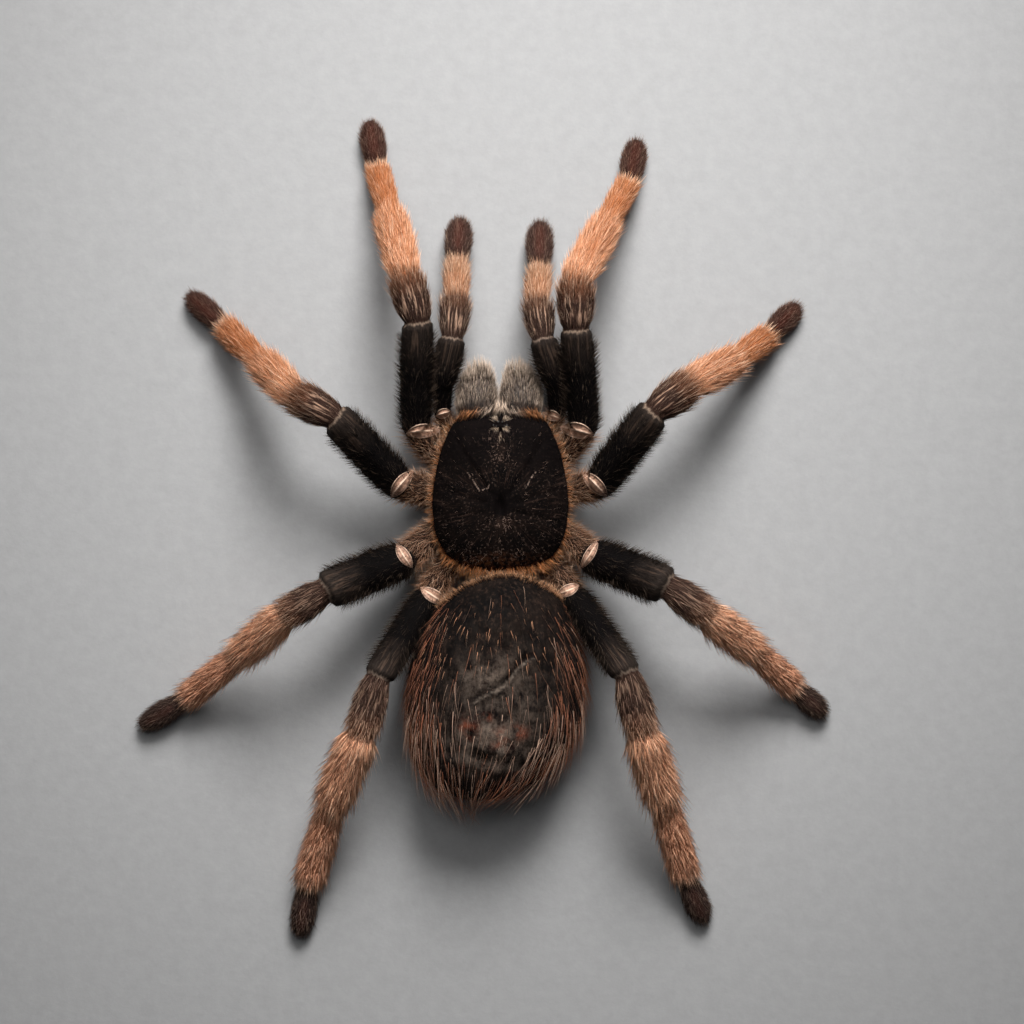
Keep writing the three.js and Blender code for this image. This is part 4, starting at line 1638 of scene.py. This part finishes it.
    def eyes(self, skin: Skin) -> Skin:
        """Set eight small eyes on the mound.

        Args:
            skin: The shield.

        Returns:
            The eyes as one mesh of spheres.
        """
        tree = skin.tree()
        points, faces = [], []
        for x, y, radius in self.eyes_right:
            for side in (-1, 1):
                plan = (self.x + side * x, self.eyes_y + y)
                ball = ball_skin(Vector((*plan, top_of(tree, *plan) + 0.25 * radius)), radius)
                faces += [tuple(v + len(points) for v in face) for face in ball.faces]
                points += ball.points.tolist()
        return Skin(np.array(points), faces)

    def seat(self) -> tuple[str, str]:
        """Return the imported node's name and its material slot."""
        return "cephalothorax", "carapace_velvet"

    def parts(self) -> Parts:
        """Return the shield, the underside and the eyes, and their coats."""
        skin, pleura = self.shield(), self.pleura()
        return [
            ("carapace", skin, "carapace"),
            ("sternum", self.sternum(), "flesh"),
            ("eyes", self.eyes(skin), "eye"),
            ("pleura", pleura, "flesh"),
        ], [
            (Coat("carapace_nap", 11000, 0.36, 0.05, 0.45, 0.1, 1, 21), self._nap(skin), "nap"),
            (Coat("carapace_fringe", 3600, 2.1, 0.1, 0.36, 0.25, 2, 22), self._fringe(skin), "rust"),
            (Coat("carapace_visor", 620, 2.3, 0.1, 0.2, 0.12, 2, 25), self._visor(skin), "visor"),
            (Coat("eye_tufts", 130, 1.0, 0.05, 0.3, 0.15, 2, 23), self._star(skin), "pale"),
            (Coat("carapace_strays", 300, 0.75, 0.03, 0.3, 0.2, 2, 24), self._stray(skin), "dusty"),
            (Coat("pleura_tangle", 2300, 2.6, 0.085, 0.75, 0.25, 2, 26), pleura, "tangle"),
        ]


def ball_skin(centre: Vector, radius: float) -> Skin:
    """Build a small closed ball.

    Args:
        centre: Its middle in millimetres.
        radius: Its radius in millimetres.

    Returns:
        The ball.
    """
    shares = -np.cos(np.pi * (np.arange(9) + 0.25) / 8.5)
    half = np.sqrt(1 - shares ** 2) * radius
    centres = np.array(centre) + np.outer(shares * radius, [0.0, 1.0, 0.0])
    return Loft(centres, rows_along_y(9), half, half, half, 14).skin()


@dataclass
class Abdomen(SubAssembly):
    """The settled egg with its waist, spinnerets and long combed hairs.

    Attributes:
        x: Its middle.
        y: Its middle.
        slant: How far it points to the left for each millimetre back.
        half_width: Half the skin's width.
        front: The skin's length ahead of the middle.
        rear: The skin's length behind it.
        front_power: How square the front is.
        rear_power: How square the rear is.
        middle: Height of its middle.
        half_height: Half the skin's height.
        sections: Sections along it.
        sides: Vertices around it.
        swerve: How far the rear end turns aside, with + to the right.
        lowest: Where the sections are cut off below, before the belly is pressed flat.
        parting_x: The hairs part along this line.
        gather_y: The hairs' combing gathers here.
        brow_x: Middle of the pale line of hairs at the front rim.
        brow_y: Place of that line on its middle.
        fold_start: Where the fold across the bald patch starts.
        fold_end: Where it ends.
        red_spots: The places and sizes of the red spots.
    """

    x: float = 2.0
    y: float = -26.6
    slant: float = 0.07
    half_width: float = 13.9
    front: float = 19.6
    rear: float = 15.9
    front_power: float = 2.2
    rear_power: float = 2.2
    middle: float = 8.9
    half_height: float = 9.2
    sections: int = 150
    sides: int = 200
    swerve: float = -1.0
    lowest: float = -9.0
    parting_x: float = -3.2
    gather_y: float = -46.5
    brow_x: float = 3.6
    brow_y: float = -7.5
    fold_start: tuple[float, float] = (8.4, -19.8)
    fold_end: tuple[float, float] = (-1.2, -27.4)
    red_spots: tuple[tuple[float, float, float], ...] = (
        (-2.1, -30.4, 1.3), (5.8, -31.2, 1.1), (3.2, -32.4, 1.3), (1.0, -29.0, 0.6),
    )

    def egg(self) -> Skin:
        """Build the egg, with its wrinkles, its folds and its layers.

        Returns:
            The closed skin.
        """
        shares = -np.cos(np.pi * (np.arange(self.sections) + 0.3) / (self.sections - 0.4))
        ahead = shares > 0
        power = np.where(ahead, self.front_power, self.rear_power)
        half = (1 - np.abs(shares) ** power) ** (1 / power)
        run = np.where(ahead, self.front, self.rear) * shares
        swerve = self.swerve * smooth_step(-run, 4.0, self.rear)
        centres = flat(self.x + self.slant * run + swerve, self.y + run, self.middle)
        ways, wide, height = rows_along_y(len(run)), self.half_width * half, self.half_height * half
        skin = Loft(centres, ways, wide, height, height, self.sides, self.lowest).skin()
        self._settle(skin)
        self._dress(skin)
        return skin

    def _settle(self, skin: Skin) -> None:
        """Dent and wrinkle the dried skin, and press its belly flat."""
        points = skin.points
        x, y = points[:, 0], points[:, 1]
        top = smooth_step(points[:, 2], 9.0, 15.0)
        sink = 0.9 * bell(np.hypot((x - 3.5) / 5.5, (y + 24.0) / 7.5), 1.0)
        crest, groove = self._fold(x, y)
        drop = sink - 0.4 * crest + 0.6 * groove
        drop += 0.4 * lumps(points, 4.5, 2.0) + 0.22 * lumps(points, 1.7, 5.0)
        creased = bell(np.hypot((x - 1.0) / 6.0, (y + 35.5) / 4.0), 1.0)
        drop += 0.25 * creased * np.sin(1.9 * y + 0.35 * x + 1.5 * lumps(points, 5.0, 8.0))
        points[:, 2] -= top * drop
        side = 0.25 * lumps(points, 3.0, 7.0) * (1 - top)
        outward = unit(points - np.array([self.x, self.y, self.middle]))
        points += outward * side[:, None]
        points[:, 2] = np.maximum(points[:, 2], FLOOR_GAP)

    def _fold(self, x: Values, y: Values) -> tuple[Values, Values]:
        """Work out the slanting fold across the bald patch.

        Args:
            x: Places in plan.
            y: Places in plan.

        Returns:
            The crest of the fold and the groove beside it.
        """
        start, end = np.array(self.fold_start), np.array(self.fold_end)
        length = float(np.linalg.norm(end - start))
        way = (end - start) / length
        along = (x - start[0]) * way[0] + (y - start[1]) * way[1]
        across = (x - start[0]) * -way[1] + (y - start[1]) * way[0]
        across = across + 0.4 * np.sin(along * 0.7)
        within = between(along, -1.0, 1.5, length - 1.5, length + 1.0)
        return bell(across, 0.24) * within, bell(across + 0.55, 0.34) * within

    def _dress(self, skin: Skin) -> None:
        """Add the layers that the finish and the hairs read."""
        points = skin.points
        x, y = points[:, 0], points[:, 1]
        top = smooth_step(points[:, 2], 10.5, 14.5)
        bald = 0.75 * bell(np.hypot((x - 1.3) / 4.2, (y + 22.8) / 2.4), 1.0)
        bald += 0.85 * bell(np.hypot((x - 1.6) / 5.8, (y + 33.4) / 4.6), 1.0)
        bald += 0.4 * bell(np.hypot((x - 2.9) / 8.5, (y + 27.0) / 8.5), 1.0)
        crest, groove = self._fold(x, y)
        # Painted shade: the grey of the bald patch is taken out of the groove beside the fold, so the groove shows
        # darker.
        bald -= 0.7 * groove
        skin.layers["bald"] = np.clip(bald, 0, 1) * top
        # The crest layer carries a painted highlight along the fold's crest.
        skin.layers["crest"] = crest * top
        red = np.zeros(len(x))
        for spot_x, spot_y, size in self.red_spots:
            red += bell(np.hypot(x - spot_x, y - spot_y), size)
        skin.layers["red"] = np.clip(red, 0, 1) * top
        spread = flat(0.3 * (x - self.x) / self.half_width, -1.0)
        swirl = 0.22 * lumps(points, 3.2, 11.0) + 0.16 * lumps(points, 1.1, 31.0)
        gather = 0.88 * smooth_step(-y, 22.0, 36.0)[:, None]
        aside = x - self.parting_x
        end = unit(flat(-0.85 * np.maximum(aside, 0) - 0.4 * np.minimum(aside, 0), self.gather_y - y))
        normal = unit((points - [self.x, self.y, self.middle]) / [self.half_width ** 2, self.front ** 2, 85.0])
        way = spread * (1 - gather) + end * gather + swirl[:, None] * np.array([1.0, 0.0, 0.0])
        way = way - normal * np.sum(way * normal, axis=1, keepdims=True)
        skin.layers["comb"] = unit(way + TINY)

    def _aside(self, points: Values) -> Values:
        """Work out how far out each place is, from 0 on the midline to 1 at the sides."""
        return np.abs(points[:, 0] - self.x - self.slant * (points[:, 1] - self.y)) / self.half_width

    def _flank(self, skin: Skin) -> Skin:
        """Share the egg with the layers of the long brown hairs of its flanks and its rear."""
        points = skin.points
        rearward = smooth_step(-points[:, 1], 33.0, 41.0)
        flank = smooth_step(self._aside(points), 0.5, 0.85)
        above = smooth_step(points[:, 2], 1.5, 6.0)
        patchy = 0.25 + 0.75 * smooth_step(lumps(points, 1.4, 12.0), -0.3, 0.3)
        density = ((0.02 + flank + 0.5 * rearward) * above + 0.25 * (1 - above)) * patchy
        return skin.coated(density, 0.75 + 0.08 * rearward, 0.22)

    def _back(self, skin: Skin) -> Skin:
        """Share the egg with the layers of the long pale hairs that lie over the rear half of its back."""
        points = skin.points
        rearward = smooth_step(-points[:, 1], 22.0, 29.0)
        high = smooth_step(points[:, 2], 7.0, 12.0)
        patchy = 0.2 + 0.8 * smooth_step(lumps(points, 1.5, 22.0), -0.3, 0.3)
        sides = 0.35 + 0.65 * smooth_step(self._aside(points), 0.2, 0.6)
        return skin.coated((0.08 + rearward) * high * patchy * sides, 0.6 + 0.3 * rearward, 0.2)

    def _strokes(self, skin: Skin) -> Skin:
        """Share the egg with the layers of the short pale hairs on the front of its back."""
        points = skin.points
        front = between(points[:, 1], -24.5, -20.0, -12.5, -10.5)
        return skin.coated(front * smooth_step(points[:, 2], 11.0, 13.0), rise=0.25)

    def _down(self, skin: Skin) -> Skin:
        """Share the egg with the layers of its short dark hairs."""
        patchy = 0.12 + 0.88 * smooth_step(lumps(skin.points, 0.9, 41.0), -0.25, 0.3)
        return skin.coated((1.0 - 0.75 * skin.layers["bald"]) * patchy, rise=0.5)

    def _brow(self, skin: Skin) -> Skin:
        """Share the egg with the layers of the pale line of hairs at its front rim."""
        points = skin.points
        x = points[:, 0] - self.brow_x
        line = self.brow_y - 0.045 * x ** 2
        density = bell(points[:, 1] - line, 0.3) * smooth_step(points[:, 2], 7.5, 9.0)
        density *= 1 - smooth_step(np.abs(x), 9.0, 11.0)
        return skin.coated(density, rise=0.6, comb=unit(flat(0.1 * x, 0.8, 0.3)))

    @staticmethod
    def waist() -> Skin:
        """Build the narrow waist towards the shield."""
        runs = np.linspace(-10.0, -5.2, 9)
        wide = 1.25 + 0.15 * np.cos(runs * 3.0)
        return Loft(flat(2.9, runs, 6.3), rows_along_y(9), wide, wide, wide, 20).skin()

    def spinneret(self, side: int) -> Skin:
        """Build one of the two finger-like spinnerets at the rear.

        Args:
            side: -1 for the left one and 1 for the right one.

        Returns:
            Its skin.
        """
        shares = np.linspace(0, 1, 14)
        radius = 0.82 * (1 - 0.35 * shares) * np.sqrt(np.clip(1.06 - shares ** 6, 0.05, 1))
        radius *= 1 - 0.1 * bell(shares - 0.45, 0.05)
        centres = flat(self.x - 1.6 + side * 1.5 * (1 + 0.2 * shares), -39.4 - 3.6 * shares, 6.4 - 1.2 * shares)
        return Loft(centres, np.tile([0.0, -1.0, -0.3], (14, 1)), radius, radius, radius, 16).skin()

    def seat(self) -> tuple[str, str]:
        """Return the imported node's name and its material slot."""
        return "abdomen", "abdomen_skin"

    def parts(self) -> Parts:
        """Return the egg, the waist and the spinnerets, and the egg's coats."""
        skin = self.egg()
        return [
            ("abdomen_skin", skin, "abdomen"),
            ("waist", self.waist(), "flesh"),
            ("spinneret_left", self.spinneret(-1), "flesh"),
            ("spinneret_right", self.spinneret(1), "flesh"),
        ], [
            (Coat("abdomen_flank_hairs", 1600, 8.0, 0.075, 0.16, 0.12, 3, 31), self._flank(skin), "flank"),
            (Coat("abdomen_back_hairs", 330, 9.0, 0.08, 0.16, 0.1, 4, 35), self._back(skin), "back"),
            (Coat("abdomen_strokes", 95, 2.0, 0.08, 0.14, 0.12, 2, 34), self._strokes(skin), "stroke"),
            (Coat("abdomen_down", 8000, 1.0, 0.05, 0.35, 0.15, 1, 32), self._down(skin), "down"),
            (Coat("abdomen_brow", 900, 1.1, 0.07, 0.4, 0.2, 2, 33), self._brow(skin), "brow"),
        ]


def columns_between(rows: tuple[tuple[float, ...], ...], count: int) -> list[Values]:
    """Fill in between the rows of a table and return its columns, with count values in each."""
    fine = np.linspace(0, len(rows) - 1, count)
    return [np.interp(fine, range(len(rows)), column) for column in np.array(rows).T]


@dataclass
class Chelicera(SubAssembly):
    """One furry lobe ahead of the shield, with the fang folded under it.

    Attributes:
        side: -1 for the left one and 1 for the right one.
        x: The midline between the two.
        offset: How far its middle is from the midline.
        half_width: Half the skin's width.
        profile: Its sections: y, z, width share, height above and depth below.
        fang_profile: The fang's sections: y, z and radius.
    """

    side: int
    x: float = 2.65
    offset: float = 3.45
    half_width: float = 3.1
    profile: tuple[tuple[float, float, float, float, float], ...] = (
        (15.6, 7.5, 0.7, 0.9, 1.3), (17.0, 7.9, 0.94, 1.7, 2.3), (18.0, 8.0, 1.0, 2.3, 3.0),
        (19.2, 8.0, 1.03, 3.2, 3.4), (21.2, 7.4, 1.02, 3.7, 3.8), (22.6, 6.6, 0.92, 3.5, 3.7),
        (23.7, 5.9, 0.68, 2.9, 3.2), (24.6, 5.3, 0.38, 1.9, 2.2), (25.1, 5.0, 0.16, 1.0, 1.2),
    )
    fang_profile: tuple[tuple[float, float, float], ...] = (
        (23.4, 3.6, 0.85), (23.8, 2.4, 0.8), (23.5, 1.5, 0.68), (22.5, 1.0, 0.55), (21.2, 0.8, 0.4),
        (20.1, 0.85, 0.26), (19.3, 1.1, 0.1),
    )

    def lobe(self) -> Skin:
        """Build the lobe with its layers.

        Returns:
            The closed skin.
        """
        window = np.hanning(13)[1:-1]
        y, z, wide, up, down = (np.convolve(np.pad(column, 5, mode="edge"), window / window.sum(), mode="valid")
                                for column in columns_between(self.profile, 60))
        inward = 0.5 * smooth_step(y, 22.5, 25.0)
        centres = flat(self.x + self.side * (self.offset - inward), y, z)
        skin = Loft(centres, rows_along_y(60), self.half_width * wide, up, down, 48).skin()
        self._dress(skin)
        return skin

    def _dress(self, skin: Skin) -> None:
        """Add the layers of the fur: combed forwards and down over the front."""
        points = skin.points
        x = points[:, 0] - self.x - self.side * self.offset
        front = smooth_step(points[:, 1], 22.0, 24.8)
        above = smooth_step(points[:, 2], 3.0, 6.5)
        gaps = 0.2 + 0.8 * smooth_step(lumps(points * [1.0, 0.3, 1.0], 0.5, 3.0), -0.25, 0.3)
        skin.layers["density"] = (0.35 + 0.65 * above) * (1 + 0.9 * front) * gaps
        skin.layers["reach"] = 0.8 + 0.7 * front * above
        skin.layers["rise"] = np.full(len(points), 0.22)
        swirl = 0.25 * lumps(points, 1.2, 5.0 + self.side)
        skin.layers["comb"] = unit(flat(0.06 * x + swirl, 1.0, 0.25 * front))

    def fang(self) -> Skin:
        """Build the curved fang."""
        y, z, radius = columns_between(self.fang_profile, 28)
        centres = flat(self.x + self.side * self.offset, y, z)
        across = np.tile([1.0, 0.0, 0.0], (len(centres), 1))
        return ring_skin(centres, across, np.cross(across, unit(np.gradient(centres, axis=0))), radius, 14)

    def seat(self) -> tuple[str, str]:
        """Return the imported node's name and its material slot."""
        return "chelicera_left" if self.side < 0 else "chelicera_right", "chelicera_fur"

    def parts(self) -> Parts:
        """Return the lobe and the fang, and the fur."""
        skin, name = self.lobe(), self.seat()[0]
        fur = Coat(name + "_fur", 2700, 1.8, 0.09, 0.16, 0.1, 2, 50 + self.side)
        return [(name + "_lobe", skin, "chelicera"), (name + "_fang", self.fang(), "fang")], [(fur, skin, "grey_fur")]


def ring_skin(centres: Values, across: Values, upward: Values, radius: Values, sides: int) -> Skin:
    """Build a closed round skin along a path that may turn any way.

    Args:
        centres: Middle of each section.
        across: One direction across each section.
        upward: The other direction across each section.
        radius: Radius of each section.
        sides: Vertices around a section.

    Returns:
        The skin.
    """
    turn = np.arange(sides) * 2 * math.pi / sides
    points = centres[:, None, :] + radius[:, None, None] * (
        across[:, None, :] * np.cos(turn)[None, :, None] + upward[:, None, :] * np.sin(turn)[None, :, None])
    faces = [(face[0], *face[:0:-1]) for face in tube_faces(len(centres), sides)]
    return Skin(np.vstack([points.reshape(-1, 3), centres[:1], centres[-1:]]), faces)


@dataclass
class Studio:
    """The floor, the lights and the camera.

    Attributes:
        view_x: Where the camera looks, in millimetres.
        view_y: Where the camera looks, in millimetres.
        distance: The camera's height above the floor in millimetres.
        view_width: How much of the floor the picture shows across, in millimetres.
        sensor: The camera's sensor width in millimetres.
        sheet: Half the sheet's width in metres.
        sky: The colour of the room's own light.
        sky_strength: How strong that light is.
    """

    view_x: float = 4.72
    view_y: float = 2.64
    distance: float = 450.0
    view_width: float = 163.84
    sensor: float = 36.0
    sheet: float = 2.0
    sky: Colour = (0.9, 0.95, 1.0)
    sky_strength: float = 0.05

    def floor(self, material: bpy.types.Material) -> None:
        """Lay the pale sheet under the specimen."""
        half = self.sheet
        mesh = bpy.data.meshes.new("sheet")
        mesh.from_pydata([(-half, -half, 0), (half, -half, 0), (half, half, 0), (-half, half, 0)], [], [(0, 1, 2, 3)])
        mesh.materials.append(material)
        sheet = bpy.data.objects.new("sheet", mesh)
        bpy.context.scene.collection.objects.link(sheet)

    def light(self, name: str, place: tuple[float, float, float], aim_y: float, size: float, power: float,
              colour: Colour = (1.0, 1.0, 1.0), spread: float = 180.0) -> None:
        """Hang a square softbox that faces the specimen.

        Args:
            name: The light's name.
            place: Where it hangs, in metres.
            aim_y: How far ahead it looks, in millimetres.
            size: The length of its side in metres.
            power: Its power in watts.
            colour: Its colour.
            spread: How wide its light fans out, in degrees.
        """
        data = bpy.data.lights.new(name, "AREA")
        data.spread = math.radians(spread)
        data.shape = "SQUARE"
        data.size = size
        data.energy = power
        data.color = colour
        lamp = bpy.data.objects.new(name, data)
        lamp.location = place
        target = Vector((self.view_x * MM, aim_y * MM, 0.0))
        lamp.rotation_euler = (target - Vector(place)).to_track_quat("-Z", "Y").to_euler()
        bpy.context.scene.collection.objects.link(lamp)

    def camera(self) -> None:
        """Set the camera straight above the specimen."""
        data = bpy.data.cameras.new("camera")
        data.sensor_width = self.sensor
        data.lens = self.sensor * self.distance / self.view_width
        data.clip_start = 0.01
        data.clip_end = 20.0
        camera = bpy.data.objects.new("camera", data)
        camera.location = (self.view_x * MM, self.view_y * MM, self.distance * MM)
        bpy.context.scene.collection.objects.link(camera)
        bpy.context.scene.camera = camera

    def build(self, paper: bpy.types.Material) -> None:
        """Set up the studio.

        Args:
            paper: The sheet's finish.
        """
        self.floor(paper)
        self.camera()
        warm = (1.0, 0.99, 0.97)
        self.light("window", (0.045, 0.3, 0.25), 22.0, 0.18, 0.5, warm, 62.0)
        self.light("ahead", (-0.05, 0.18, 0.4), 46.0, 0.26, 0.1, warm, 60.0)
        self.light("overhead", (0.1, 0.15, 0.9), 0.0, 0.5, 0.07)
        world = bpy.data.worlds.new("room")
        world.use_nodes = True
        backdrop = world.node_tree.nodes["Background"].inputs
        backdrop["Color"].default_value = (*self.sky, 1.0)
        backdrop["Strength"].default_value = self.sky_strength
        bpy.context.scene.world = world
        bpy.context.scene.view_settings.view_transform = "Standard"


def main() -> None:
    """Build every sub-assembly in order."""
    logging.basicConfig(level=logging.INFO, format="%(message)s")
    shop = Workshop()
    Studio().build(shop.finishes["paper"])
    for assembly in (Cephalothorax(), Abdomen(), Chelicera(-1), Chelicera(1), *all_limbs()):
        shop.build(assembly)
    LOG.info("hairs: %d triangles, all pieces: %d triangles", shop.hairs, shop.all)


if __name__ == "__main__":
    main()
